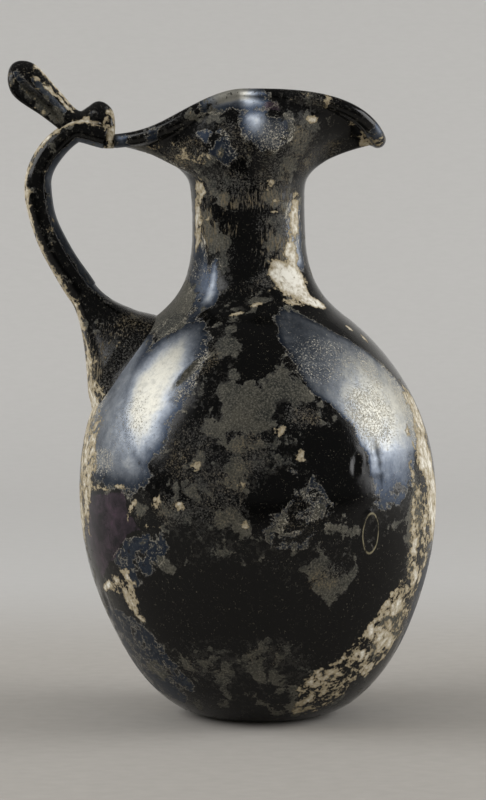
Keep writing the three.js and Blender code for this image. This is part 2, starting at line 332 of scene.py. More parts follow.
# %% Move the outside along its own normals
def grid_normals(grid):
    around = np.roll(grid, -1, axis=1) - np.roll(grid, 1, axis=1)
    upward = np.gradient(grid, axis=0)
    return unit(np.cross(around, upward))


outside_normals = grid_normals(outside)


def spot_on_glass(azimuth_degrees, height):
    column = int(round(azimuth_degrees / 360 * vessel_sides)) % vessel_sides
    row = int(np.argmin(np.abs(outside[base_rows:, column, 2] - height))) + base_rows
    return outside[row, column], outside_normals[row, column]


def reach_from_spot(places, azimuth_degrees, height, half_across, half_up, tilt_degrees=0.0):
    """How far places lie from a spot, where 1 is the edge of a leaning oval round it."""
    centre, normal = spot_on_glass(azimuth_degrees, height)
    level = unit(np.cross([0.0, 0.0, 1.0], normal))
    upward = np.cross(normal, level)
    tilt = math.radians(tilt_degrees)
    offset = places - centre
    level_part = offset @ (level * math.cos(tilt) + upward * math.sin(tilt)) / half_across
    upward_part = offset @ (upward * math.cos(tilt) - level * math.sin(tilt)) / half_up
    depth_part = offset @ normal / (half_across + half_up)
    return np.sqrt(level_part**2 + upward_part**2 + depth_part**2)


# Azimuth and height of the middle, half sizes across and up, lean, depth: all in degrees and mm.
# The first is the long scar in the left highlight, the third to sixth are the blisters on the
# right. Each is a bowl with a low lip round it.
dents = [
    (-117.5, 88, 1.1, 5.4, -32, 0.75),
    (-122.5, 59.3, 0.9, 4.0, -20, 0.32),
    (-48.8, 69.3, 1.3, 2.8, 5, 0.6),
    (-48.8, 65.7, 1.5, 1.3, 0, 0.4),
    (-48.8, 62.2, 1.0, 2.6, -8, 0.4),
    (-57.5, 66.3, 0.9, 2.6, -14, 0.4),
    (-66, 78, 0.5, 1.2, -25, 0.16),
    (-63, 75.5, 0.4, 0.9, -25, 0.14),
    (-80, 85, 0.7, 0.7, 0, 0.14),
    (20, 62, 1.8, 4.0, 12, 0.4),
    (75, 48, 2.4, 3.0, 0, 0.35),
    (140, 80, 1.5, 4.4, 25, 0.45),
    (118, 36, 2.0, 2.2, 0, 0.3),
    (-160, 30, 1.6, 3.2, -10, 0.35),
]
sunk = np.zeros(outside.shape[:2])
for azimuth_degrees, height, half_across, half_up, tilt, depth in dents:
    reach = reach_from_spot(outside, azimuth_degrees, height, half_across, half_up, tilt)
    bowl = -depth * np.exp(-(reach**2) * 1.4)
    lip = 0.22 * depth * np.exp(-(((reach - 1.5) / 0.45) ** 2))
    sunk += bowl + lip

# A burst bubble left a thin raised ring on the belly
bubble_azimuth = -52.5
bubble_height = 49.7
bubble_half_across = 2.3
bubble_half_up = 4.9
bubble_lean = 4
reach = reach_from_spot(outside, bubble_azimuth, bubble_height, bubble_half_across,
                        bubble_half_up, bubble_lean)
sunk += 0.22 * np.exp(-(((reach - 1) / 0.16) ** 2)) - 0.12 * np.exp(-(reach**2))

# Slow waves over body and neck, and fine rings round the neck, which was turned while hot
azimuth_grid = np.broadcast_to(ring_azimuths, sunk.shape)
height_grid = outside[..., 2]
body_share = soft_step(height_grid, 6, 22) * (1 - soft_step(height_grid, 124, 136))
waves = (0.16 * np.sin(3 * azimuth_grid + 0.045 * height_grid + 0.8)
         + 0.10 * np.sin(5 * azimuth_grid - 0.11 * height_grid + 2.1)
         + 0.07 * np.sin(0.19 * height_grid + 2 * azimuth_grid))
neck_share = soft_step(height_grid, 104, 112) * (1 - soft_step(height_grid, 132, 138))
turning_marks = (0.010 * np.sin(2.1 * height_grid + 0.6 * np.sin(azimuth_grid))
                 + 0.008 * np.sin(3.3 * height_grid + np.sin(2 * azimuth_grid)))
sunk += body_share * waves + neck_share * turning_marks
outside = outside + outside_normals * sunk[..., None]
print("deepest dent", round(float(sunk.min()), 2), "mm, highest", round(float(sunk.max()), 2), "mm")

# %% [markdown]
# ## From grids to meshes
#
# Every piece of the jug is a closed grid of rings, so one function turns rings into a mesh: four
# corners for each face, and a fan of triangles over each end. The faces are shaded smooth.

# %% Mesh of the vessel
def mesh_of_rings(name, rings, first_middle, last_middle):
    """A closed piece: rings in mm, joined row by row, and the middle of the fan at each end."""
    count, sides = rings.shape[:2]
    corners = np.concatenate([rings.reshape(-1, 3), [first_middle], [last_middle]]) * MM
    here = np.arange(sides)
    after = (here + 1) % sides
    faces = []
    for row in range(count - 1):
        low = row * sides
        high = low + sides
        faces += np.stack([low + here, low + after, high + after, high + here], axis=-1).tolist()
    last = (count - 1) * sides
    faces += [[count * sides, int(b), int(a)] for a, b in zip(here, after)]
    faces += [[count * sides + 1, int(last + a), int(last + b)] for a, b in zip(here, after)]
    mesh = bpy.data.meshes.new(name)
    mesh.from_pydata(corners.tolist(), [], faces)
    mesh.shade_smooth()
    mesh.validate()
    piece = bpy.data.objects.new(name, mesh)
    bpy.context.scene.collection.objects.link(piece)
    print(name, "faces", len(mesh.polygons))
    return piece


vessel_rings = np.concatenate([outside, rim_rings, inside])
vessel = mesh_of_rings("jug_vessel", vessel_rings, leaned([0.0, 0.0, kick_height]),
                       leaned([0.0, 0.0, floor_height]))
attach(vessel, "root")
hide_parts("blown_vessel")

# %% [markdown]
# ## Where the glass has weathered
#
# Buried glass decays in layers. A thin haze of layers mirrors light like a weak, bluish metal, a
# thicker film lies matt and grey on top, and lime from the soil left a cream crust. The layers
# flaked off in patches and bared the black glass. Each patch is an outline or an oval, given by
# azimuth in degrees and height in mm, and each kind of layer is one number at every mesh corner.

# %% Outlines of the large patches
azimuth_degrees_grid = np.degrees(azimuth_grid)
radius_grid = np.interp(height_grid, wall_heights, wall_radii)


def depth_in_outline(outline):
    """How deep the places outside on the jug lie in an outline, in mm; less than 0 is beyond it."""
    inside_it = np.zeros(azimuth_grid.shape, dtype=bool)
    nearest = np.full(azimuth_grid.shape, 1000.0)
    middle = sum(corner[0] for corner in outline) / len(outline)
    turn = (azimuth_degrees_grid - middle + 180) % 360 - 180
    for here, there in zip(outline, outline[1:] + outline[:1]):
        x1 = np.radians(here[0] - middle - turn) * radius_grid
        x2 = np.radians(there[0] - middle - turn) * radius_grid
        y1 = here[1] - height_grid
        y2 = there[1] - height_grid
        run_x, run_y = x2 - x1, y2 - y1
        along = np.clip(-(x1 * run_x + y1 * run_y) / (run_x**2 + run_y**2 + 1e-9), 0, 1)
        nearest = np.minimum(nearest, np.hypot(x1 + along * run_x, y1 + along * run_y))
        crosses = (y1 > 0) != (y2 > 0)
        inside_it ^= crosses & (x1 - y1 * run_x / np.where(crosses, run_y, 1) > 0)
    return np.where(inside_it, nearest, -nearest)


def outline_field(patches, softness=4.0):
    """The largest share of any patch: 0.5 on its outline, and its own strength deep inside."""
    field = np.zeros(azimuth_grid.shape)
    for strength, outline in patches:
        depth = depth_in_outline(outline)
        field = np.maximum(field, np.clip(0.5 + depth / softness, 0, strength))
    return field


def oval_field(ovals):
    field = np.zeros(azimuth_grid.shape)
    for azimuth_degrees, height, half_across, half_up, tilt, strength in ovals:
        reach = reach_from_spot(outside, azimuth_degrees, height, half_across, half_up, tilt)
        field = np.maximum(field, strength * np.clip(1.5 - reach, 0, 1))
    return field


# The haze is real, but the strong patches on the neck and on the mouth lie where the lamps' highlights
# fall, and they are thick enough to be painted lighter there: a painted highlight over the haze.
haze_outlines = [
    (0.8, [(-77.5, 99), (-76, 93.6), (-72.5, 89.5), (-70, 84), (-65, 82), (-59, 78.2),
           (-55.5, 75), (-55, 71.4), (-51, 68.5), (-46, 68), (-30, 67.5), (-14, 70), (-8, 76),
           (-12, 80), (-20, 85.9), (-31, 93), (-47, 99), (-58.7, 102.2), (-69, 103.4),
           (-75, 102)]),
    (0.64, [(-51, 70), (-52.4, 64), (-52.8, 57), (-46.2, 54.6), (-40, 55.6), (-32, 60),
            (-28, 66), (-28, 72)]),
    (0.66, [(-139, 101), (-131, 99), (-124, 103), (-128, 110), (-150, 124), (-168, 123),
            (-160, 110)]),
    (1.0, [(-134, 103), (-117, 103), (-117, 109), (-121, 115), (-131, 114)]),
    (1.3, [(-108, 155), (-96, 156), (-82, 156), (-78, 152.4), (-88, 151.4), (-104, 151.2)]),
    (0.94, [(-94, 151), (-82, 151.4), (-70, 149), (-70, 141.6), (-80, 141.4), (-92, 146)]),
    (1.0, [(-50, 112), (-20, 112), (-20, 129), (-46, 129)]),
    (0.6, [(-165, 28), (-150, 29), (-140, 27), (-133, 24), (-130, 20), (-122, 10), (-140, 5),
           (-170, 8)]),
    (0.6, [(-145, 43), (-137, 48), (-122, 50), (-120, 47), (-125, 40), (-131, 36), (-138, 36)]),
    (0.46, [(-92, 58), (-80, 66), (-70, 64), (-66, 56), (-74, 47), (-86, 47)]),
    (0.6, [(-160, 141), (-135, 140), (-125, 136), (-138, 137)]),
    (0.66, [(-22, 40), (-4, 44), (0, 26), (-12, 16), (-18, 24)]),
    (0.6, [(-112, 146), (-98, 147), (-96, 140), (-104, 137), (-110, 141)]),
]
# These fade out softly, over 9 mm. The first lies where the left lamp's highlight falls, and its
# strength makes the haze thick and so lighter there: a painted highlight over real haze.
soft_haze_outlines = [
    (1.35, [(-111, 94), (-114, 86), (-118, 78), (-122, 71), (-126, 66), (-132, 64), (-138, 68),
            (-148, 76), (-152, 88), (-142, 97), (-130, 101), (-118, 101)]),
    (0.98, [(-124, 64), (-132, 59), (-140, 60), (-152, 61), (-164, 59), (-182, 75), (-178, 92),
            (-150, 99), (-140, 80)]),
    (1.1, [(60, 95), (80, 99), (95, 100), (130, 96), (140, 78), (130, 70), (118, 66), (90, 72),
           (70, 64), (52, 74)]),
    (0.8, [(20, 40), (36, 47), (50, 48), (70, 36), (64, 28), (55, 22), (28, 24)]),
    (1.0, [(150, 60), (172, 52), (176, 40), (168, 30), (140, 28), (128, 44), (136, 54)]),
    (0.7, [(60, 112), (90, 116), (120, 112), (130, 128), (70, 130)]),
    (0.8, [(20, 150), (60, 152), (100, 150), (90, 142), (40, 140)]),
]
# Inside the haze on the right, a zone that fades out over 18 mm is made thicker, and so lighter, where
# the right lamp's highlight is brightest: a painted highlight over real haze.
highlight_haze_outlines = [
    (1.0, [(-60, 84), (-60, 77), (-54, 70), (-46, 69), (-30, 70), (-8, 72), (0, 78), (-16, 86),
           (-30, 91), (-46, 93)]),
]
film_outlines = [
    (0.9, [(-162, 143), (-142, 143), (-131, 140), (-134, 137), (-142, 138), (-156, 141)]),
    (1.2, [(-180, 96), (-150, 95.5), (-137, 96), (-131, 99), (-134, 103), (-142, 107),
           (-150, 109), (-180, 108)]),
    (0.9, [(0, 88), (20, 94), (45, 90), (50, 78), (35, 66), (12, 70)]),
    (0.8, [(80, 60), (110, 62), (122, 48), (100, 38), (78, 44)]),
    (0.7, [(0, 30), (24, 22), (60, 18), (90, 24), (130, 20), (150, 12), (90, 8), (20, 8)]),
    (0.8, [(140, 100), (170, 104), (176, 92), (150, 88)]),
    (0.95, [(-105, 84), (-104.5, 86), (-101, 87), (-100, 90), (-98, 89.5), (-96, 86), (-88, 86),
            (-85, 87.7), (-82, 89.5), (-78, 90), (-76.5, 88), (-72, 88), (-69, 83), (-74, 80.5),
            (-80, 81.4), (-84, 78.6), (-90, 74), (-96, 75), (-100, 78.6), (-103, 81.4)]),
    (0.85, [(-110, 92), (-106, 98), (-100, 99.5), (-101, 97), (-94, 95), (-98, 91.5),
            (-101, 92.5), (-105, 91)]),
    (0.47, [(-106, 80), (-84, 79), (-78, 72), (-80, 66), (-92, 57), (-93, 50), (-84, 46),
            (-108, 44), (-118, 50), (-118, 60), (-110, 72)]),
    (0.62, [(-124, 45), (-118, 42), (-117, 36), (-123, 34), (-128, 38)]),
    (0.6, [(-78, 42), (-70, 45), (-64, 41), (-57, 41), (-60, 36), (-66, 32), (-72, 37)]),
    (0.52, [(-122, 17), (-116, 22), (-104, 21), (-96, 20), (-90, 27), (-84, 30), (-82, 24),
            (-76, 22), (-72, 17), (-62, 14), (-60, 8), (-66, 2), (-73, 5), (-78, 12), (-88, 13),
            (-100, 16), (-106, 8), (-112, 13)]),
    (0.5, [(-133, 143), (-118, 143), (-108, 139), (-104, 132), (-112, 128), (-135, 128),
           (-140, 138)]),
    (0.52, [(-74, 150), (-62, 151), (-56, 147), (-52, 140), (-45, 134), (-45, 128), (-72, 128),
            (-80, 134), (-74, 142)]),
    (0.5, [(-136, 128), (-124, 128), (-124, 120), (-136, 119)]),
    (0.6, [(-121, 121), (-112, 121), (-110, 112), (-118, 110), (-123, 114)]),
]
bare_outlines = [
    (0.8, [(-58, 103.2), (-47.5, 100.4), (-31, 94.4), (-20, 87.2), (-10, 81.4), (0, 78),
           (15, 84), (5, 92), (-5, 98), (-20, 103), (-40, 106)]),
    (1.0, [(-99, 97), (-95, 100.5), (-85, 103.6), (-70, 104.4), (-78, 100), (-77, 94), (-80, 91),
           (-84, 88.5), (-90, 87), (-95, 87.5), (-96.5, 90), (-93, 93), (-96, 95)]),
    (1.0, [(-137, 33), (-131, 38), (-126, 42), (-116, 41), (-105, 43), (-92, 42), (-85, 37),
           (-76, 36), (-66, 31), (-56, 38), (-53, 44), (-45, 50), (-37, 47), (-36, 38),
           (-42, 31), (-48, 25), (-55, 19), (-65, 18), (-75, 23), (-80, 24), (-95, 25),
           (-110, 25), (-130, 23), (-134, 27)]),
    (0.9, [(-94, 59), (-88, 63), (-80, 67), (-76, 64), (-80, 58), (-86, 52), (-91, 52)]),
    (0.9, [(-73, 76), (-68, 75), (-60, 78), (-56, 73), (-52, 68), (-51.5, 57), (-56, 54),
           (-66, 56), (-70, 62), (-73, 68)]),
    (0.9, [(-160, 57), (-144, 58), (-137, 59), (-135, 55), (-130, 50), (-136, 48), (-140, 45),
           (-147, 41), (-156, 37), (-160, 46)]),
    (0.9, [(-131, 125.5), (-126, 124.5), (-120, 125.5), (-117, 128), (-122, 130), (-130, 129)]),
    (1.0, [(-52, 152), (-44, 146), (-30, 144), (-18, 146), (-20, 152), (-40, 156)]),
    (0.9, [(-110, 147), (-103, 147), (-101, 143), (-107, 141)]),
    (0.8, [(-104, 126), (-82, 127), (-82, 112), (-100, 108), (-108, 112)]),
]
tarnish_outlines = [
    (1.0, [(-163, 58), (-152, 57.3), (-144, 58.2), (-137, 59.5), (-135, 55), (-130, 50.5),
           (-136, 48.6), (-140, 45), (-147, 41), (-156, 36.8), (-163, 44)]),
    (0.9, [(-156, 142), (-138, 141.5), (-133, 138), (-145, 137)]),
    (1.0, [(-80.5, 154), (-77, 154), (-77, 151.6), (-80.5, 151.6)]),
]
haze = np.maximum(outline_field(haze_outlines, 4.5), outline_field(soft_haze_outlines, 9.0))
highlight_haze = outline_field(highlight_haze_outlines, 18.0) * np.clip((haze - 0.45) / 0.1, 0, 1)
haze = haze + 0.54 * highlight_haze
film = outline_field(film_outlines, 6.0)
bare = outline_field(bare_outlines, 5.0)
tarnish = outline_field(tarnish_outlines, 4.0)
print("hazed", round(float((haze > 0.5).mean()), 2), "filmed", round(float((film > 0.5).mean()), 2))

# %% Crust, dust and small films
# An oval is an azimuth and a height, half sizes across and up, a lean and a strength
# Strong crust is painted cream and weak crust tan. The strengths are high on the neck's foot, which
# faces up into the lamps' light, and low on the lower right, which is in shade, so there the crust's
# tone is partly painted light and shade.
crust_outlines = [
    (0.52, [(-32, 60), (-34, 44), (-33, 38), (-44, 30), (-50, 23.5), (-58, 18), (-67, 15),
            (-73, 12), (-70, 4), (-56, 3), (-46, 8), (-42, 13), (-28, 16), (-20, 23), (-22, 32),
            (-14, 43), (-12, 60)]),
    (0.62, [(-150, 34), (-140, 40), (-136, 37), (-137, 28), (-141, 28), (-143, 33)]),
    (0.46, [(-140, 143), (-120, 143), (-112, 141), (-116, 138.6), (-126, 139), (-136, 140.6)]),
]
crust_ovals = [
    (-51, 109.5, 5.4, 4.2, -14, 1.25), (-46, 106.8, 4.5, 2.2, -20, 1.1),
    (-61, 113, 3.0, 2.2, -20, 0.8), (-58, 104.5, 3.2, 1.0, -20, 0.74),
    (-64, 111.5, 3.0, 2.0, -10, 1.0), (-38, 104.5, 4.4, 1.9, -20, 1.3),
    (-42, 116, 2.6, 5.0, 0, 0.8), (-34, 124, 2.2, 7.0, 0, 0.8), (-154, 124, 2.4, 8.0, 0, 0.75),
    (-72, 133, 3.0, 2.0, 0, 0.6), (-60, 149, 2.0, 1.2, 0, 0.7), (-72, 107.5, 2.6, 0.8, 14, 0.6),
    (-88, 104.2, 3.0, 0.7, 12, 0.62), (-101, 102, 2.6, 0.8, 14, 0.58),
    (-25, 98, 1.2, 1.6, 0, 0.9), (-19, 95, 1.2, 1.6, 0, 0.9), (-13, 77, 6.5, 9.0, 0, 0.8),
    (-18, 66, 7.0, 9.0, 0, 0.84), (-172, 80, 6.0, 18.0, 0, 0.7), (-20, 146, 4, 3, 0, 0.54),
    (-31, 148, 2.4, 2, 0, 0.66), (-6, 144, 4, 3, 0, 0.6), (-160, 62, 6.0, 16.0, 0, 0.7),
    (-146, 131, 3.0, 4.0, 0, 0.72), (-12, 54, 8.0, 10.0, 0, 0.84), (-27, 73, 2.0, 2.0, 0, 0.6),
    (-31, 64, 1.6, 3.0, 0, 0.62), (-24, 50, 3.0, 6.0, 0, 0.7), (-30, 45, 2.0, 3.6, 0, 0.7),
    (-26, 37, 3.0, 4.5, 0, 0.76), (-42, 24, 5.0, 3.2, -30, 0.76), (-34, 30, 3.6, 3.8, 0, 0.78),
    (-32, 20, 5.0, 4.0, 0, 0.74), (-48, 19, 4.6, 2.0, 10, 0.72), (-57, 15, 4.0, 1.8, 0, 0.66),
    (-38, 14, 4.0, 2.4, 0, 0.75), (-66, 12.5, 3.6, 2.4, -30, 0.68),
    (-68, 7, 2.6, 3.6, -40, 0.66), (-168, 68, 5.0, 12.0, 0, 0.68), (-170, 52, 5.0, 9.0, 0, 0.75),
    (-154, 35, 4.0, 1.0, 24, 0.8), (-145, 37, 2.8, 1.4, 10, 0.8),
    (-139, 38.5, 1.2, 2.0, 0, 0.75), (-138, 31, 0.9, 2.6, -20, 0.68),
    (-150, 59.4, 5.0, 0.8, 4, 0.66), (-138, 60.5, 3.0, 0.8, 4, 0.66),
    (-133.5, 55, 0.9, 3.4, -30, 0.7), (-82, 75, 2.4, 1.6, 20, 0.62), (-95, 62, 1.8, 1.2, 0, 0.6),
    (-93.5, 53.5, 1.2, 1.4, 0, 0.58), (-115, 57, 2.2, 1.4, 0, 0.6),
    (-110, 66, 1.6, 2.0, 0, 0.55), (-76, 69, 1.6, 2.4, -20, 0.56),
    (-124, 57, 1.4, 3.0, -20, 0.6), (-127, 51, 4.0, 1.0, 0, 0.58), (-62, 126, 1.6, 0.7, 0, 0.6),
    (-57, 129, 2.0, 0.7, 0, 0.6), (-150, 125, 2.2, 1.6, 0, 0.62), (-135, 124, 2.6, 0.9, 0, 0.62),
]
dust_ovals = [
    (-112, 70, 9, 12, -20, 0.92), (-102, 60, 12, 12, 0, 0.92), (-118, 56, 7, 5, 0, 1.1),
    (-92, 70, 8, 8, 0, 0.95), (-74, 78, 7, 4, -10, 1.0), (-66, 63, 2.5, 7, 0, 0.7),
    (-110, 92, 4, 8, -20, 0.95), (-118, 85, 3, 8, -30, 0.95), (-68, 40, 7, 5, 0, 1.0),
    (-82, 43, 5, 4, 0, 0.7), (-100, 47, 9, 5, 0, 0.7), (-88, 20, 10, 6, 0, 0.8),
    (-115, 16, 9, 6, 0, 0.8), (-62, 12, 8, 6, 0, 0.9), (-130, 55, 5, 4, 0, 0.8),
    (-96, 118, 7, 10, 0, 0.98), (-62, 118, 4, 9, 0, 0.9), (-130, 118, 4, 9, 0, 0.8),
    (-46, 78, 13, 12, 0, 0.96), (-58, 91, 15, 12, 0, 0.82), (-140, 76, 10, 14, 0, 0.75),
    (-30, 50, 6, 24, 0, 0.9), (-93, 143, 7, 6, 0, 0.9), (-76, 143, 6, 8, 0, 0.95),
    (-62, 143, 6, 8, 0, 1.05), (-122, 140, 9, 5, 20, 1.25), (-99, 146, 5, 5, 0, 1.0),
    (-66, 134, 7, 7, 0, 1.15), (-110, 133, 9, 5, 0, 1.1), (-35, 138, 6, 7, 0, 0.95),
    (-78, 56, 10, 10, 0, 0.8), (-136, 124, 4, 12, 0, 1.1), (-90, 129, 12, 3.5, 0, 1.05),
    (-74, 122, 8, 6, 0, 0.95), (-166, 78, 5, 22, 0, 1.25), (-168, 50, 4, 16, 0, 1.1),
    (-22, 80, 5, 18, 0, 1.2), (-150, 66, 9, 5, 0, 1.0), (-36, 88, 5, 10, 0, 0.95),
    (-24, 142, 6, 5, 0, 1.0), (-52, 120, 6, 12, 0, 1.05), (-90, 112, 10, 9, 0, 0.8),
    (-70, 110, 8, 4, 0, 1.0), (-38, 125, 5, 12, 0, 1.1), (-145, 112, 7, 5, 0, 0.8),
]
small_film_ovals = [
    (-117.5, 88, 0.9, 4.4, -32, 1.5), (-54, 142, 5.0, 5.0, 0, 0.5),
    (-33, 146, 5.0, 4.0, 0, 0.46), (-128, 118.5, 2.0, 2.8, 0, 0.8),
    (-112, 119, 1.6, 2.6, 0, 0.62), (-138, 125.5, 2.6, 1.4, 0, 0.85),
    (-62, 124, 2.4, 1.6, 0, 0.7), (-56, 121, 2.0, 2.6, 0, 0.66), (-84, 105, 4.0, 0.9, 12, 0.85),
    (-100, 103, 2.6, 0.8, 12, 0.7), (-30, 50, 5.0, 22.0, 0, 0.66), (-34, 24, 9.0, 9.0, 0, 0.7),
    (-60, 14, 6.0, 3.0, 0, 0.62), (-140, 14, 9.0, 4.0, 0, 0.55), (-120, 6, 9.0, 3.0, 0, 0.5),
]


# The back isn't seen in the photo, so its small patches are scattered at random
chance = random.Random(12)


def scattered(count, half_across, half_up, strength):
    """Ovals at random places between azimuth 5 and 175, with sizes and strengths in a range."""
    return [(chance.uniform(5, 175), chance.uniform(4, 148), chance.uniform(*half_across),
             chance.uniform(*half_up), chance.uniform(-40, 40), chance.uniform(*strength))
            for _ in range(count)]


crust = oval_field(crust_ovals + scattered(64, (1.5, 7), (1, 8), (0.48, 0.76)))
crust = np.maximum(crust, outline_field(crust_outlines, 5.0))
dust = oval_field(dust_ovals + scattered(36, (4, 11), (4, 12), (0.8, 1.15)))
film = np.maximum(film, oval_field(small_film_ovals + scattered(30, (2, 8), (1.5, 7), (0.6, 0.9))))
film = np.maximum(film, 0.34) - 0.5 * np.clip(haze - 0.5, 0, 0.5)
film = np.clip(film - 0.8 * np.clip(bare - 0.4, 0, 1), 0, 1)
dust = np.clip(np.maximum(dust, 0.55) - 0.9 * np.clip(bare - 0.3, 0, 1), 0, 1)
crust = np.clip(crust - 0.4 * np.clip(bare - 0.5, 0, 1), 0, 1)
haze = np.clip(haze - 0.5 * np.clip(bare - 0.5, 0, 1), 0, 1.4)


def paint(piece, name, values):
    """Gives each corner of a piece its own number, or all of them the same one."""
    layer = piece.data.attributes.new(name, "FLOAT", "POINT")
    numbers = np.broadcast_to(np.ravel(values), len(piece.data.vertices))
    layer.data.foreach_set("value", numbers.astype(np.float32))


def over_whole_vessel(field, on_rim, within):
    rim_part = np.broadcast_to(on_rim, rim_rings.shape[:2])
    inner_part = np.full(inside.shape[:2], within)
    return np.concatenate([field.ravel(), rim_part.ravel(), inner_part.ravel(), [within, within]])


def round_the_rim(*spots):
    """Spots on the rim, each with its middle and half width in degrees and its strength."""
    turn = np.degrees(ring_azimuths)
    shares = [strength * np.exp(-(((turn - middle + 180) % 360 - 180) / half_width) ** 2)
              for middle, half_width, strength in spots]
    return np.max(shares, axis=0)


# The strongest spot, at -95 degrees, is a painted highlight: thick, light haze where the left lamp's
# highlight lies on the rolled rim.
hazy_rim = round_the_rim((-95, 14, 1.6), (-16, 9, 0.8), (-160, 16, 0.7), (-134, 14, 0.5),
                         (60, 40, 0.8))
filmed_rim = 0.28 + round_the_rim((-62, 9, 0.3), (-120, 14, 0.14), (110, 30, 0.4))
crusted_rim = 0.2 + round_the_rim((-53, 3, 0.5), (-66, 4, 0.3), (-10, 9, 0.3), (140, 20, 0.3))
dusty_rim = 0.3 + round_the_rim((-60, 20, 0.6), (90, 60, 0.6))
paint(vessel, "haze", over_whole_vessel(haze, hazy_rim, 0.3))
paint(vessel, "film", over_whole_vessel(film, filmed_rim, 0.5))
paint(vessel, "crust", over_whole_vessel(crust, crusted_rim, 0.4))
paint(vessel, "dust", over_whole_vessel(dust, dusty_rim, 0.6))
paint(vessel, "tarnish", over_whole_vessel(tarnish, 0.0, 0.0))
on_neck = soft_step(height_grid, 98, 108) * (1 - soft_step(height_grid, 128, 140))
on_left_limb = np.exp(-(((azimuth_degrees_grid - 193 + 180) % 360 - 180) / 22) ** 2)
worn = np.clip(np.maximum(on_neck, on_left_limb), 0.15, 1)
paint(vessel, "worn", over_whole_vessel(worn, 0.1, 0.1))
print("crusted", round(float((crust > 0.5).mean()), 2), "dusty", round(float((dust > 0.5).mean()), 2))

# %% [markdown]
# ## The strap handle
#
# The handle was a hot gather of glass pressed on the shoulder, pulled up, bent over and pushed
# against the rim. Its middle line is a chain of bends, and a soft oval is carried along it. Pulling
# drew the oval into long ribs, and the press left a claw whose ribs fan out over the shoulder.

# %% Sizes of the strap, in millimetres
def in_plane(x, z):
    return np.array([x, 0.0, z])


def turned(degrees):
    return in_plane(math.cos(math.radians(degrees)), math.sin(math.radians(degrees)))


def wall_radius(height):
    return float(np.interp(height, wall_heights, wall_radii))


rim_tip = leaned(rim_place(np.array(math.pi)))
claw_depth = 1.0
claw_drop = 27.8
wrist_foot_height = 73.0
wrist_height = 106.2
wrist_clearance = 1.2
wrist_half_depth = 3.6
wrist_width = 10.0
wrist_angle = 124
claw_width = 31.0
claw_spread = 1.5
bow_reach = 17.6
bow_drop = 11
crest_reach = 8.8
crest_rise = 2.2
crest_angle = 30
bar_rib = 0.22
claw_rib = 0.5
sunk_in_glass = 0.8
bow_share = 0.25
flat_from = 0.45
flat_to = 0.8


def from_rim(x, z):
    """A place in the handle's plane, measured from the rim's rear end."""
    return in_plane(rim_tip[0] + x, rim_tip[2] + z)


def shoulder_spot(height):
    return leaned(in_plane(-wall_radius(height) + claw_depth, height - claw_depth))


print("rear end of the rim", rim_tip.round(1))

# %% Middle line of the strap
claw_top = shoulder_spot(shoulder_height)
claw_tip = shoulder_spot(shoulder_height - claw_drop)
wrist_foot = leaned(in_plane(-wall_radius(wrist_foot_height), wrist_foot_height))
wrist = in_plane(wrist_foot[0] - wrist_clearance, wrist_height)
bow = from_rim(-bead_radius - bow_reach, -bow_drop)
crest = from_rim(-bead_radius - crest_reach, crest_rise)
strap_end = from_rim(-2.4, 0.9)
wrist_up = turned(wrist_angle)
wrist_out = in_plane(-wrist_up[2], wrist_up[0])
crest_up = turned(crest_angle)

# Each pull is how far a curve runs on in the direction in which it leaves or comes in
wrist_pull = 10 * wrist_up
bow_pull_below = in_plane(0, 10)
bow_pull_above = in_plane(0, 6)
crest_pull_before = 4 * crest_up
crest_pull_after = 2 * crest_up
strap_end_pull = in_plane(4, -1)
claw_outer_pull = 8 * wrist_up
claw_inner_pull = 6 * wrist_up
claw_tip_pull = in_plane(0.6, -11)
claw_top_pull = in_plane(7, -3)
strap_bends = [
    (wrist, wrist + wrist_pull, bow - bow_pull_below, bow),
    (bow, bow + bow_pull_above, crest - crest_pull_before, crest),
    (crest, crest + crest_pull_after, strap_end - strap_end_pull, strap_end),
]
wrist_outer = wrist + wrist_half_depth * wrist_out
wrist_inner = wrist - wrist_half_depth * wrist_out
claw_outer = (wrist_outer, wrist_outer - claw_outer_pull, claw_tip - claw_tip_pull, claw_tip)
claw_inner = (wrist_inner, wrist_inner - claw_inner_pull, claw_top - claw_top_pull, claw_top)


def evenly_spaced(line, steps):
    """Places at even spacing along a finely divided line, the directions there and its length."""
    run = np.concatenate([[0], np.cumsum(np.linalg.norm(np.diff(line, axis=0), axis=1))])
    even = np.linspace(0, run[-1], steps)
    places = np.stack([np.interp(even, run, line[:, axis]) for axis in range(3)], axis=-1)
    return places, unit(np.gradient(places, axis=0)), run[-1]


def soft_oval(angles, power=0.8):
    across = np.sign(np.cos(angles)) * np.abs(np.cos(angles)) ** power
    sideways = np.sign(np.sin(angles)) * np.abs(np.sin(angles)) ** power
    return across, sideways


print("strap rises from", wrist.round(1), "over", crest.round(1), "to", strap_end.round(1))

# %% Rings of the strap
strap_sides = 96
strap_angles = 2 * math.pi * np.arange(strap_sides) / strap_sides
strap_across, strap_sideways = soft_oval(strap_angles)
ribs = np.cos(5 * strap_sideways * math.pi / 2)

strap_rings = []
claw_steps = 90
for step in range(claw_steps):
    share = 1 - step / claw_steps
    outer = bezier(*claw_outer, share)
    inner = bezier(*claw_inner, share)
    thickness = np.linalg.norm(outer - inner)
    out = (outer - inner) / thickness
    half_width = mix(wrist_width, claw_width, share**claw_spread) / 2
    rib_height = mix(bar_rib, claw_rib, soft_step(share, 0, 0.6)) * (1 - soft_step(share, 0.9, 1))
    swell = thickness / 2 + rib_height * ribs * np.maximum(strap_across, 0)
    ring_places = (outer + inner) / 2 + np.outer(strap_across * swell, out)
    ring_places[:, 1] += strap_sideways * half_width
    spread = soft_step(share, 0.7, 1)
    radii = np.interp(ring_places[:, 2], wall_heights, wall_radii) - sunk_in_glass
    on_glass = leaned(np.stack([
        -np.sqrt(np.maximum(radii**2 - ring_places[:, 1] ** 2, 0)),
        ring_places[:, 1], ring_places[:, 2]], axis=-1))
    ring_places[:, 0] = mix(ring_places[:, 0], on_glass[:, 0], spread)
    strap_rings.append(ring_places)

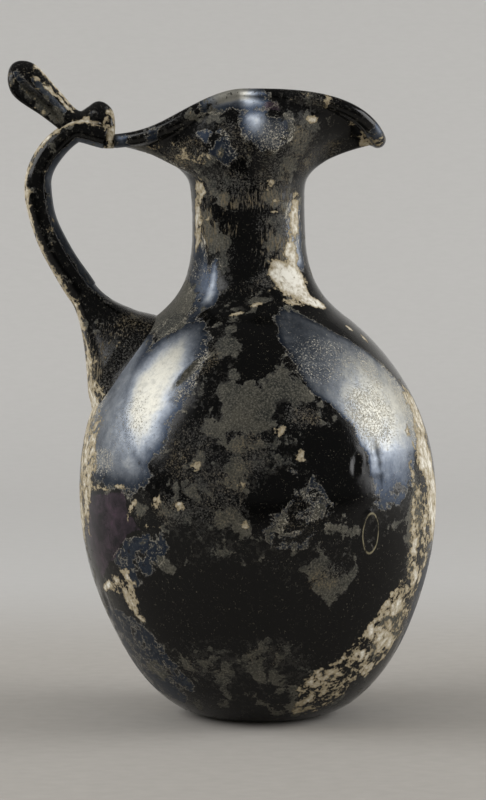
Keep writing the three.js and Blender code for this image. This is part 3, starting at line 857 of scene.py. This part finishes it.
# The bar thins from the wrist to its end: depths at the wrist, in the middle and at the end
bar_steps = 190
bar_depths = (2 * wrist_half_depth, 6.5, 5.6)
bar_line = np.concatenate([[bezier(*bend, share) for share in np.linspace(0, 1, 200)]
                           for bend in strap_bends])
bar_places, bar_directions, bar_length = evenly_spaced(bar_line, bar_steps)
for step in range(bar_steps):
    share = step / (bar_steps - 1)
    up = bar_directions[step]
    out = in_plane(-up[2], up[0])
    depth = mix(bar_depths[0], bar_depths[1], soft_step(share, 0, bow_share))
    half = mix(depth, bar_depths[2], soft_step(share, flat_from, flat_to)) / 2
    half += 0.1 * math.sin(11 * share) + 0.06 * math.sin(27 * share + 1)
    swell = half + bar_rib * ribs * strap_across
    ring_places = bar_places[step] + np.outer(strap_across * swell, out)
    ring_places[:, 1] += strap_sideways * (wrist_width / 2 + 0.12 * math.sin(14 * share))
    strap_rings.append(ring_places)

strap_rings = np.array(strap_rings)
strap = mesh_of_rings("jug_strap_handle", strap_rings, strap_rings[0].mean(axis=0),
                      strap_rings[-1].mean(axis=0))
print("bar length", round(float(bar_length), 1), "mm")

# %% Weathering of the strap
# Lime crust stayed on the outer face, haze on the inner face, and dust in the claw's furrows
along_strap = np.linspace(0, 1, len(strap_rings))[:, None]
outer_face = np.clip(strap_across, 0, 1)[None, :]
inner_face = np.clip(-strap_across, 0, 1)[None, :]
claw_part = 1 - soft_step(along_strap, 0.1, 0.32)


def paint_strap(name, values):
    whole = np.broadcast_to(values, strap_rings.shape[:2]).ravel()
    paint(strap, name, np.concatenate([whole, [0.5, 0.5]]))


outer_edge = soft_step(outer_face, 0.35, 0.9)
paint_strap("haze", 0.15 + 0.6 * soft_step(inner_face, 0.3, 0.9) * (1 - claw_part))
paint_strap("film", 0.3 + 0.14 * outer_edge)
long_patches = 0.08 * np.sin(23 * along_strap)
short_patches = 0.06 * np.sin(57 * along_strap + 3 * strap_sideways[None, :])
paint_strap("crust", 0.2 + (0.46 + long_patches + short_patches) * outer_edge)
paint_strap("dust", 0.42 + 0.48 * claw_part + 0.2 * outer_face)
paint_strap("tarnish", 0.0)
paint_strap("worn", 0.3 + 0.7 * claw_part)
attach(strap, "root")
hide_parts("strap_handle")

# %% [markdown]
# ## The thumb-rest
#
# The last of the glass was trailed from the rim: it clasps the rim's end, curls, dips onto the
# strap, runs out to a tall fold and comes back to the strap. A ribbon is carried along a smooth
# line through these places. Its twist makes the near edge lie lower, as it does on the real one.
# Where the ribbon meets itself it was hot enough to fuse, so the mesh is rebuilt from small voxels.

# %% Middle line and rings of the trail
fold_reach = 23.2
fold_rise = 18.4
fold_gap = 4.2
dip = from_rim(-8.6, 4.9)
fold_top = from_rim(-fold_reach, fold_rise)
landing = from_rim(-12.4, 4.2)
leg_out = unit(fold_top - dip)
leg_side = in_plane(-leg_out[2], leg_out[0])
fold_turn = fold_top - leg_out * fold_gap / 2
far_leg = fold_turn + leg_side * fold_gap
trail_points = np.array([
    from_rim(-1.6, -1.8),
    from_rim(-1.6, 1.7),
    from_rim(-1.6, 4.2),
    from_rim(-2.2, 6.2),
    from_rim(-4.2, 7.3),
    from_rim(-6.0, 6.2),
    dip,
    from_rim(-10.6, 5.8),
    (dip + fold_turn) / 2,
    fold_turn,
    fold_top + leg_side * fold_gap / 2,
    far_leg,
    mix(far_leg, landing, 0.55),
    landing,
])


def smooth_line(points):
    """A centripetal spline through the points, finely divided."""
    before = 2 * points[0] - points[1]
    behind = 2 * points[-1] - points[-2]
    line = np.concatenate([[before], points, [behind]])
    fine = []
    for index in range(1, len(line) - 2):
        p0, p1, p2, p3 = line[index - 1:index + 3]
        t0 = 0.0
        t1 = math.sqrt(np.linalg.norm(p1 - p0))
        t2 = t1 + math.sqrt(np.linalg.norm(p2 - p1))
        t3 = t2 + math.sqrt(np.linalg.norm(p3 - p2))
        for t in np.linspace(t1, t2, 60, endpoint=False):
            a1 = (t1 - t) / (t1 - t0) * p0 + (t - t0) / (t1 - t0) * p1
            a2 = (t2 - t) / (t2 - t1) * p1 + (t - t1) / (t2 - t1) * p2
            a3 = (t3 - t) / (t3 - t2) * p2 + (t - t2) / (t3 - t2) * p3
            b1 = (t2 - t) / (t2 - t0) * a1 + (t - t0) / (t2 - t0) * a2
            b2 = (t3 - t) / (t3 - t1) * a2 + (t - t1) / (t3 - t1) * a3
            fine.append((t2 - t) / (t2 - t1) * b1 + (t - t1) / (t2 - t1) * b2)
    fine.append(points[-1])
    return np.array(fine)


trail_sides = 48
trail_steps = 300
clasp_width = 9.6
clasp_share = 0.16
ribbon_width = 6.6
ribbon_thickness = 2.7
twist_degrees = 32
# Where the ribbon is thicker, at the curl and the head: share of the way, length and growth
ribbon_swells = [(0.2, 0.09, 1.1), (0.66, 0.13, 1.2)]
trail_places, trail_directions, trail_length = evenly_spaced(smooth_line(trail_points), trail_steps)
trail_across, trail_sideways = soft_oval(2 * math.pi * np.arange(trail_sides) / trail_sides)
trail_rings = []
for step in range(trail_steps):
    share = step / (trail_steps - 1)
    up = trail_directions[step]
    out = in_plane(-up[2], up[0])
    free = float(soft_step(share, 0, clasp_share))
    slope = math.radians(twist_degrees * free)
    half_width = mix(clasp_width, ribbon_width, free) / 2 + 0.15 * math.sin(19 * share)
    thickness = ribbon_thickness + 0.2 * math.sin(23 * share + 1)
    for middle, length, growth in ribbon_swells:
        thickness += growth * math.exp(-(((share - middle) / length) ** 2))
    ring_places = trail_places[step] + np.outer(trail_across * thickness / 2, out)
    ring_places[:, 1] += trail_sideways * half_width * math.cos(slope)
    ring_places[:, 2] += trail_sideways * half_width * math.sin(slope)
    trail_rings.append(ring_places)
trail_rings = np.array(trail_rings)
thumb_rest = mesh_of_rings("jug_thumb_rest", trail_rings, trail_rings[0].mean(axis=0),
                           trail_rings[-1].mean(axis=0))
print("trail length", round(float(trail_length), 1), "mm")

# %% Fuse the ribbon where it meets itself
def apply_modifiers(piece):
    bpy.context.view_layer.update()
    shaped = piece.evaluated_get(bpy.context.evaluated_depsgraph_get())
    mesh = bpy.data.meshes.new_from_object(shaped)
    piece.modifiers.clear()
    piece.data = mesh
    mesh.shade_smooth()
    print(piece.name, "faces", len(mesh.polygons))


fuse = thumb_rest.modifiers.new("fuse", "REMESH")
fuse.mode = "VOXEL"
fuse.voxel_size = 0.3 * MM
fuse.use_smooth_shade = True
melt = thumb_rest.modifiers.new("melt", "SMOOTH")
melt.factor = 0.5
melt.iterations = 5
apply_modifiers(thumb_rest)

# %% Weathering of the thumb-rest
trail_mesh = thumb_rest.data
trail_corners = np.empty(len(trail_mesh.vertices) * 3, dtype=np.float32)
trail_mesh.vertices.foreach_get("co", trail_corners)
trail_corners = trail_corners.reshape(-1, 3).astype(float) / MM


def along_line(x1, z1, x2, z2, radius, side, strength):
    """A share that fades off a line, in mm from the rim's end; side -1 is the near edge."""
    spots = trail_corners[:, [0, 2]] - rim_tip[[0, 2]]
    start, run = np.array([x1, z1]), np.array([x2 - x1, z2 - z1])
    share = np.clip((spots - start) @ run / (run @ run), 0, 1)
    reach = np.linalg.norm(spots - start - np.outer(share, run), axis=1) / radius
    facing = np.clip(0.6 + side * trail_corners[:, 1] / 3, 0, 1)
    return strength * np.clip(1.5 - reach, 0, 1) * facing


trail_crust = np.max([
    along_line(-19, 18.5, -11, 9, 1.8, 1, 0.8),
    along_line(-0.6, -3, -0.4, 6, 2.0, 0, 1.15),
    along_line(-17.2, 14.2, -10.2, 7.7, 1.1, -1, 0.66),
    along_line(-8.4, 4.6, -4.2, 4.0, 1.0, -1, 0.86),
    along_line(-2.6, 2.4, -1.6, 6.8, 1.2, -1, 0.7),
    along_line(-11, 6.4, -8.4, 5.6, 1.0, 1, 0.85),
    along_line(-10, 5.0, -6.6, 5.2, 1.3, -1, 0.56),
    along_line(-19, 15, -23, 17.5, 0.9, -1, 0.56),
], axis=0)
trail_film = np.max([
    along_line(-22, 13, -14, 6, 2.6, 0, 0.9),
    along_line(-9, 3.4, -5, 3.4, 1.6, 0, 0.8),
], axis=0)
paint(thumb_rest, "haze", np.max([
    along_line(-20, 15, -13, 7.5, 1.0, -1, 0.8),
    along_line(-24, 17, -20, 11, 1.6, -1, 0.6),
    along_line(-5.5, 7.2, -2.6, 8, 1.6, 0, 0.78),
], axis=0))
paint(thumb_rest, "film", np.maximum(trail_film, 0.3))
paint(thumb_rest, "crust", np.maximum(trail_crust, 0.28))
paint(thumb_rest, "dust", 0.6)
paint(thumb_rest, "tarnish", 0.0)
paint(thumb_rest, "worn", 0.0)
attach(thumb_rest, "root")
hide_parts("thumb_rest")

# %% [markdown]
# ## Colours and nodes
#
# Colours are written as sRGB hex values, as a paint program shows them, and Blender works in linear
# light, so one function turns one into the other. Another small function adds a node with its
# settings and links, which keeps the materials short enough to read.

# %% Helpers for materials
def linear(hex_colour):
    channels = [int(hex_colour[place:place + 2], 16) / 255 for place in (1, 3, 5)]
    return [c / 12.92 if c <= 0.04045 else ((c + 0.055) / 1.055) ** 2.4 for c in channels] + [1.0]


def add_node(material, kind, settings=None, **inputs):
    """Adds a node. An input is a number, a hex colour, a socket, or a node for its first output."""
    node = material.node_tree.nodes.new(kind)
    for name, value in (settings or {}).items():
        setattr(node, name, value)
    for name, value in inputs.items():
        key = int(name[2:]) if name.startswith("in") and name[2:].isdigit() else name.replace("_", " ")
        if isinstance(value, bpy.types.Node):
            value = next(output for output in value.outputs if output.enabled)
        if isinstance(value, bpy.types.NodeSocket):
            material.node_tree.links.new(value, node.inputs[key])
        else:
            node.inputs[key].default_value = linear(value) if isinstance(value, str) else value
    return node


def new_material(name):
    """An empty material, and the function that adds nodes to it."""
    material = bpy.data.materials.new(name)
    material.use_nodes = True
    material.node_tree.nodes.clear()
    return material, partial(add_node, material)


def soft_masks(node, numbers, ranges):
    """Masks by name. Each goes softly from 0 to 1 between two values of one of the numbers."""
    return {name: node("ShaderNodeMapRange", {"interpolation_type": "SMOOTHSTEP"},
                       in0=numbers[source], From_Min=low, From_Max=high)
            for name, (source, low, high) in ranges.items()}


def product(node, first, *others):
    """Masks and shares multiplied together."""
    for other in others:
        first = node("ShaderNodeMath", {"operation": "MULTIPLY"}, in0=first, in1=other)
    return first


def cover(node, colour, *layers):
    """A colour under layers, each a mask and the colour that shows where the mask is 1."""
    for mask, above in layers:
        colour = node("ShaderNodeMix", {"data_type": "RGBA"}, in0=mask, in6=colour, in7=above)
    return colour


def cover_number(node, number, *layers):
    """The same with numbers."""
    for mask, above in layers:
        number = node("ShaderNodeMix", in0=mask, in2=number, in3=above)
    return number


print("cream in linear light", [round(c, 3) for c in linear("#e1d4b4")])

# %% [markdown]
# ## The studio
#
# Polished dark glass mirrors whatever stands round it, so the lamps are drawn as much as they are
# lit with. Two large soft boxes make the two long highlights: one on the left, set higher so that
# its light wraps over the shoulder, and one on the right. A grey sweep is floor and backdrop in one.

# %% Floor and backdrop
sweep_columns = 24
sweep_half_width = 2.2
sweep_height = 1.5
sweep_depths = np.concatenate([np.linspace(-1.6, 0.55, 30), np.linspace(0.6, 1.35, 40)])
sweep_corners = [(x, depth, sweep_height * float(soft_step(depth, 0.5, 1.75)))
                 for depth in sweep_depths
                 for x in np.linspace(-sweep_half_width, sweep_half_width, sweep_columns)]
sweep_faces = []
for row in range(len(sweep_depths) - 1):
    for column in range(sweep_columns - 1):
        here = row * sweep_columns + column
        beyond = here + sweep_columns
        sweep_faces.append((here, here + 1, beyond + 1, beyond))
sweep_mesh = bpy.data.meshes.new("sweep")
sweep_mesh.from_pydata(sweep_corners, [], sweep_faces)
sweep_mesh.shade_smooth()
sweep = bpy.data.objects.new("sweep", sweep_mesh)
bpy.context.scene.collection.objects.link(sweep)


def grey_paper():
    """Plain paper, matt, in two close tones. The floor is painted a little darker than the backdrop,
    as painted shade.
    """
    material, node = new_material("grey_paper_sweep")
    # 900 grains run along each side of the sheet. At 3 to 5 mm they are far coarser than real ones,
    # which would not show.
    grain = node("ShaderNodeTexNoise", Scale=900.0, Detail=3.0)
    place = node("ShaderNodeTexCoord").outputs["Object"]
    depth = node("ShaderNodeSeparateXYZ", Vector=place).outputs["Y"]
    mask = soft_masks(node, {"depth": depth}, {
        "beyond_jug": ("depth", 0.06, 0.26),
        "near_jug": ("depth", -0.42, -0.12),
    })
    # The floor's darker tone is painted shade, where less light reaches it than reaches the backdrop.
    shaded_floor_tone = cover(node, "#aba7a1", (grain, "#b9b5af"))
    wall_tone = cover(node, "#c4c3c1", (grain, "#cac9c7"))
    tone = cover(node, shaded_floor_tone, (mask["beyond_jug"], wall_tone))
    # The glass mirrors a dark floor in front of it, as if the sheet ended there
    mirrored = node("ShaderNodeLightPath").outputs["Is Glossy Ray"]
    tone = cover(node, "#2c2b2a", (cover_number(node, 1.0, (mirrored, mask["near_jug"])), tone))
    paper = node("ShaderNodeBsdfPrincipled", Base_Color=tone, Roughness=0.9)
    # The paper shows on its upper side only, so that the jug can be seen from behind as well
    underside = node("ShaderNodeNewGeometry").outputs["Backfacing"]
    clear = node("ShaderNodeBsdfTransparent")
    sheet = node("ShaderNodeMixShader", in0=underside, in1=paper, in2=clear)
    node("ShaderNodeOutputMaterial", Surface=sheet)
    return material


sweep.data.materials.append(grey_paper())

# %% Lamps and room light
jug_middle = Vector((0, 0, 0.08))
lamp_distance = 1.1


def soft_box(name, turn_degrees, rise_degrees, width, height, power):
    """A lamp that faces the jug, in metres and watts. Turn 0 is +X and 90 is behind the jug."""
    turn, rise = math.radians(turn_degrees), math.radians(rise_degrees)
    away = Vector((math.cos(rise) * math.cos(turn), math.cos(rise) * math.sin(turn), math.sin(rise)))
    lamp = bpy.data.lights.new(name, "AREA")
    lamp.shape = "RECTANGLE"
    lamp.size = width
    lamp.size_y = height
    lamp.energy = power
    holder = bpy.data.objects.new(name, lamp)
    holder.location = jug_middle + lamp_distance * away
    holder.rotation_euler = (-away).to_track_quat("-Z", "Y").to_euler()
    bpy.context.scene.collection.objects.link(holder)


soft_box("left_soft_box", 185, 30, 0.92, 0.66, 7.6)
soft_box("right_soft_box", 2, 18, 0.75, 0.78, 8.7)

# The room's walls are pale for soft light, and dim in the glass, as a tent with dark flags is
room = bpy.data.worlds.new("room")
bpy.context.scene.world = room
room.use_nodes = True
room_light = room.node_tree.nodes["Background"]
room_light.inputs["Color"].default_value = linear("#747371")
room_ray = add_node(room, "ShaderNodeLightPath")
room_strength = add_node(room, "ShaderNodeMix", in0=room_ray.outputs["Is Glossy Ray"], in2=2.3,
                         in3=0.9)
room.node_tree.links.new(room_strength.outputs[0], room_light.inputs["Strength"])
bpy.context.scene.view_settings.view_transform = "Standard"

# %% [markdown]
# ## Weathered black glass
#
# One recipe dresses all three pieces. Clean glass is black and glossy. Over it come, in this
# order, the haze, the tarnish, the film, the dust and the crust. A painted picture could show
# them, but it would need a flat map of every piece. Here the numbers at the mesh's corners say
# where a layer lies, and noise frays its edge: the layer shows where number and noise pass about
# one half together, and the dust, which lies in specks, where they pass about one.

# %% Noises, each as wide as the marks that it draws
# Length in mm by the marks along it, then detail, roughness and distortion
glass_noise_table = {
    "flakes": (25 / 6, 10.0, 0.68, 0.3),
    "small_flakes": (10 / 7, 8.0, 0.72, 0.2),
    "grains": (5 / 11, 4.0, 0.8, 0.0),
    "streaks": (5 / 11, 4.0, 0.75, 0.0),
    "clouds": (100 / 11, 6.0, 0.62, 0.0),
}
print("flakes", round(glass_noise_table["flakes"][0], 1), "mm wide")


def glass_noises(node, place):
    """Noises by name. The streaks are grains that are drawn out upright."""
    upright = node("ShaderNodeMapping", Vector=place, Scale=(1.0, 1.0, 0.2)).outputs[0]
    return {name: node("ShaderNodeTexNoise", Vector=upright if name == "streaks" else place,
                       Scale=1 / (width * MM), Detail=detail, Roughness=roughness,
                       Distortion=distortion)
            for name, (width, detail, roughness, distortion) in glass_noise_table.items()}


# %% Masks of the layers
# What each mask is cut from, and the values where it is 0 and 1; the first may be the higher one
noise_ranges = {
    "light_tarnish": ("flakes", 0.35, 0.65),
    "lime_flakes": ("flakes", 0.3, 0.52),
    "stray_flakes": ("small_flakes", 0.47, 0.6),
    "dark_haze": ("small_flakes", 0.56, 0.36),
    "dark_crust": ("small_flakes", 0.42, 0.3),
    "edge_grains": ("grains", 0.45, 0.55),
    "stray_grains": ("grains", 0.6, 0.68),
    "light_film_grains": ("grains", 0.46, 0.66),
    "dark_film_grains": ("grains", 0.44, 0.32),
    "streaked_clouds": ("clouds", 0.36, 0.56),
    "film_clouds": ("clouds", 0.35, 0.65),
    "dust_clouds": ("clouds", 0.38, 0.62),
}
layer_ranges = {
    "haze": ("haze", 0.46, 0.54),
    "haze_margin": ("haze", 0.58, 0.53),
    "thin_haze": ("haze_depth", 0.55, 1.15),
    "thick_haze_and_highlight": ("haze_depth", 0.95, 1.4),
    "tarnish": ("tarnish", 0.45, 0.55),
    "bright_tarnish": ("tarnish", 1.1, 1.4),
    "thin_film": ("thin_film", 0.44, 0.7),
    "film": ("film", 0.48, 0.54),
    "dust": ("dust", 0.96, 1.3),
    "crust": ("crust", 0.5, 0.56),
    "thick_and_lit_crust": ("crust", 0.55, 1.2),
    "thin_crust": ("crust", 1.3, 0.8),
}
print("masks cut from noises", len(noise_ranges), "and from layers", len(layer_ranges))


def frayed(node, name, noise, swing):
    """A painted number with noise added round it, so that a mask of it has a ragged edge."""
    painted = node("ShaderNodeAttribute", {"attribute_name": name}).outputs["Fac"]
    swung = node("ShaderNodeMath", {"operation": "MULTIPLY_ADD"}, in0=noise, in1=swing, in2=painted)
    return node("ShaderNodeMath", {"operation": "SUBTRACT"}, in0=swung, in1=swing / 2)


def glass_masks(node, noise):
    """All masks of the recipe, by name."""
    flakes, small_flakes = noise["flakes"], noise["small_flakes"]
    mask = soft_masks(node, noise, noise_ranges)
    # Where the glass is worn, the dust lies in upright streaks
    worn = node("ShaderNodeAttribute", {"attribute_name": "worn"}).outputs["Fac"]
    streaked = product(node, worn, mask["streaked_clouds"])
    dust_noise = cover_number(node, noise["grains"], (streaked, noise["streaks"]))
    film_noise = cover_number(node, flakes, (0.3, noise["clouds"]))
    crust_noise = cover_number(node, small_flakes, (0.5, flakes))
    mask |= soft_masks(node, {
        "haze": frayed(node, "haze", flakes, 1.5),
        "haze_depth": frayed(node, "haze", flakes, 0.7),
        "tarnish": frayed(node, "tarnish", flakes, 1.2),
        "thin_film": frayed(node, "film", small_flakes, 2.6),
        "film": frayed(node, "film", film_noise, 2.6),
        "dust": frayed(node, "dust", dust_noise, 3.6),
        "crust": frayed(node, "crust", crust_noise, 3.0),
    }, layer_ranges)
    mask["flake_edge"] = product(node, mask["haze"], mask["haze_margin"], mask["edge_grains"])
    mask["stray_specks"] = product(node, mask["stray_grains"], mask["stray_flakes"])
    return mask


# %% The line of lime on the burst bubble
# The bubble's middle, and half its size outward, across and up
bubble_place = Vector((26.0, -35.2, bubble_height)) * MM
bubble_halves = Vector((7.5, 2.4, bubble_half_up)) * MM
ring_ranges = {"past_inner_edge": ("reach", 0.91, 0.98), "before_outer_edge": ("reach", 1.08, 1.01)}
print("bubble", round(bubble_halves.y * 2 / MM, 1), "by", round(bubble_halves.z * 2 / MM, 1), "mm")


def bubble_lime(node, place, flakes):
    """A thin line, which breaks where the flakes have come off."""
    oval = node("ShaderNodeMapping", {"vector_type": "TEXTURE"}, Vector=place, Location=bubble_place,
                Rotation=(0, 0, math.radians(bubble_azimuth)), Scale=bubble_halves)
    reach = node("ShaderNodeVectorMath", {"operation": "LENGTH"}, in0=oval).outputs["Value"]
    ring_mask = soft_masks(node, {"reach": reach}, ring_ranges)
    return product(node, ring_mask["past_inner_edge"], ring_mask["before_outer_edge"], flakes)


# %% Colours of the layers
def glass_tones(node, mask):
    haze_shade = product(node, mask["dark_haze"], 0.25)
    crust_shade = product(node, mask["dark_crust"], mask["thin_crust"])
    return {
        # Thick haze is painted lighter and warmer. It lies mostly in the cores of the lamps'
        # highlights, so it is partly a painted highlight.
        "haze": cover(node, "#27303e", (mask["thin_haze"], "#8a9098"),
                      (mask["thick_haze_and_highlight"], "#bcbab0"), (haze_shade, "#3a414b")),
        "tarnish": cover(node, "#1c1a1f", (mask["light_tarnish"], "#463a44"),
                         (mask["bright_tarnish"], "#7a4a70")),
        "film": cover(node, "#2b2d2a", (mask["film_clouds"], "#504e45"),
                      (mask["light_film_grains"], "#77746a"),
                      (mask["dark_film_grains"], "#131312")),
        # Over the haze the dust is painted near white, so that it looks lit where the haze takes the
        # lamps' highlights: a painted highlight on the specks.
        "dust": cover(node, "#63615b", (mask["dust_clouds"], "#7d7159"),
                      (mask["haze"], "#d8d2c2")),
        # Thick crust is cream and thin crust tan. Because the strengths follow the light, the cream is
        # partly painted light and the tan partly painted shade.
        "crust": cover(node, "#a6987b", (mask["thick_and_lit_crust"], "#f8f5ea"),
                       (crust_shade, "#746a55")),
    }


# %% The whole recipe
def weathered_glass(name):
    """Black glass, fire polished as it cooled, under the layers that the ground left on it."""
    material, node = new_material(name)
    place = node("ShaderNodeTexCoord").outputs["Object"]
    noise = glass_noises(node, place)
    mask = glass_masks(node, noise)
    tone = glass_tones(node, mask)
    lime = bubble_lime(node, place, mask["lime_flakes"])
    colour = cover(
        node, "#050505", (mask["haze"], tone["haze"]), (mask["stray_specks"], "#958e7c"),
        (mask["tarnish"], tone["tarnish"]), (mask["thin_film"], "#2a2926"),
        (mask["film"], tone["film"]), (product(node, mask["flake_edge"], 0.6), "#b9b2a0"),
        (mask["dust"], tone["dust"]), (mask["crust"], tone["crust"]), (lime, "#8f876b"))
    metal = cover_number(
        node, 0.0, (mask["haze"], 0.82), (mask["tarnish"], 0.3), (mask["film"], 0.05),
        (mask["flake_edge"], 0.0), (mask["stray_specks"], 0.0), (mask["dust"], 0.0),
        (mask["crust"], 0.0))
    haze_rough = cover_number(node, 0.4, (mask["thick_haze_and_highlight"], 0.5))
    rough = cover_number(
        node, 0.1, (mask["haze"], haze_rough), (lime, 0.7), (mask["tarnish"], 0.22),
        (mask["thin_film"], 0.38), (mask["film"], 0.5), (mask["flake_edge"], 0.7),
        (mask["stray_specks"], 0.7), (mask["dust"], 0.75), (mask["crust"], 0.9))
    # Heights in mm: the film is thin, the crust is thick and lumpy
    height = cover_number(node, 0.0, (mask["haze"], 0.02), (mask["film"], 0.05),
                          (mask["dust"], 0.08), (mask["crust"], 0.22))
    lumps = node("ShaderNodeMath", {"operation": "MULTIPLY_ADD"}, in0=noise["small_flakes"],
                 in1=0.035, in2=height)
    bump = node("ShaderNodeBump", Strength=1.0, Distance=MM, Height=lumps)
    shader = node("ShaderNodeBsdfPrincipled", Base_Color=colour, Metallic=metal, Roughness=rough,
                  IOR=1.52, Specular_IOR_Level=0.25, Normal=bump)
    node("ShaderNodeOutputMaterial", Surface=shader)
    print(name, "nodes", len(material.node_tree.nodes))
    return material


for piece, name in ((vessel, "vessel_black_glass_weathered"),
                    (strap, "handle_black_glass_weathered"),
                    (thumb_rest, "trail_black_glass_weathered")):
    piece.data.materials.clear()
    piece.data.materials.append(weathered_glass(name))

# %% The end
bpy.context.view_layer.update()
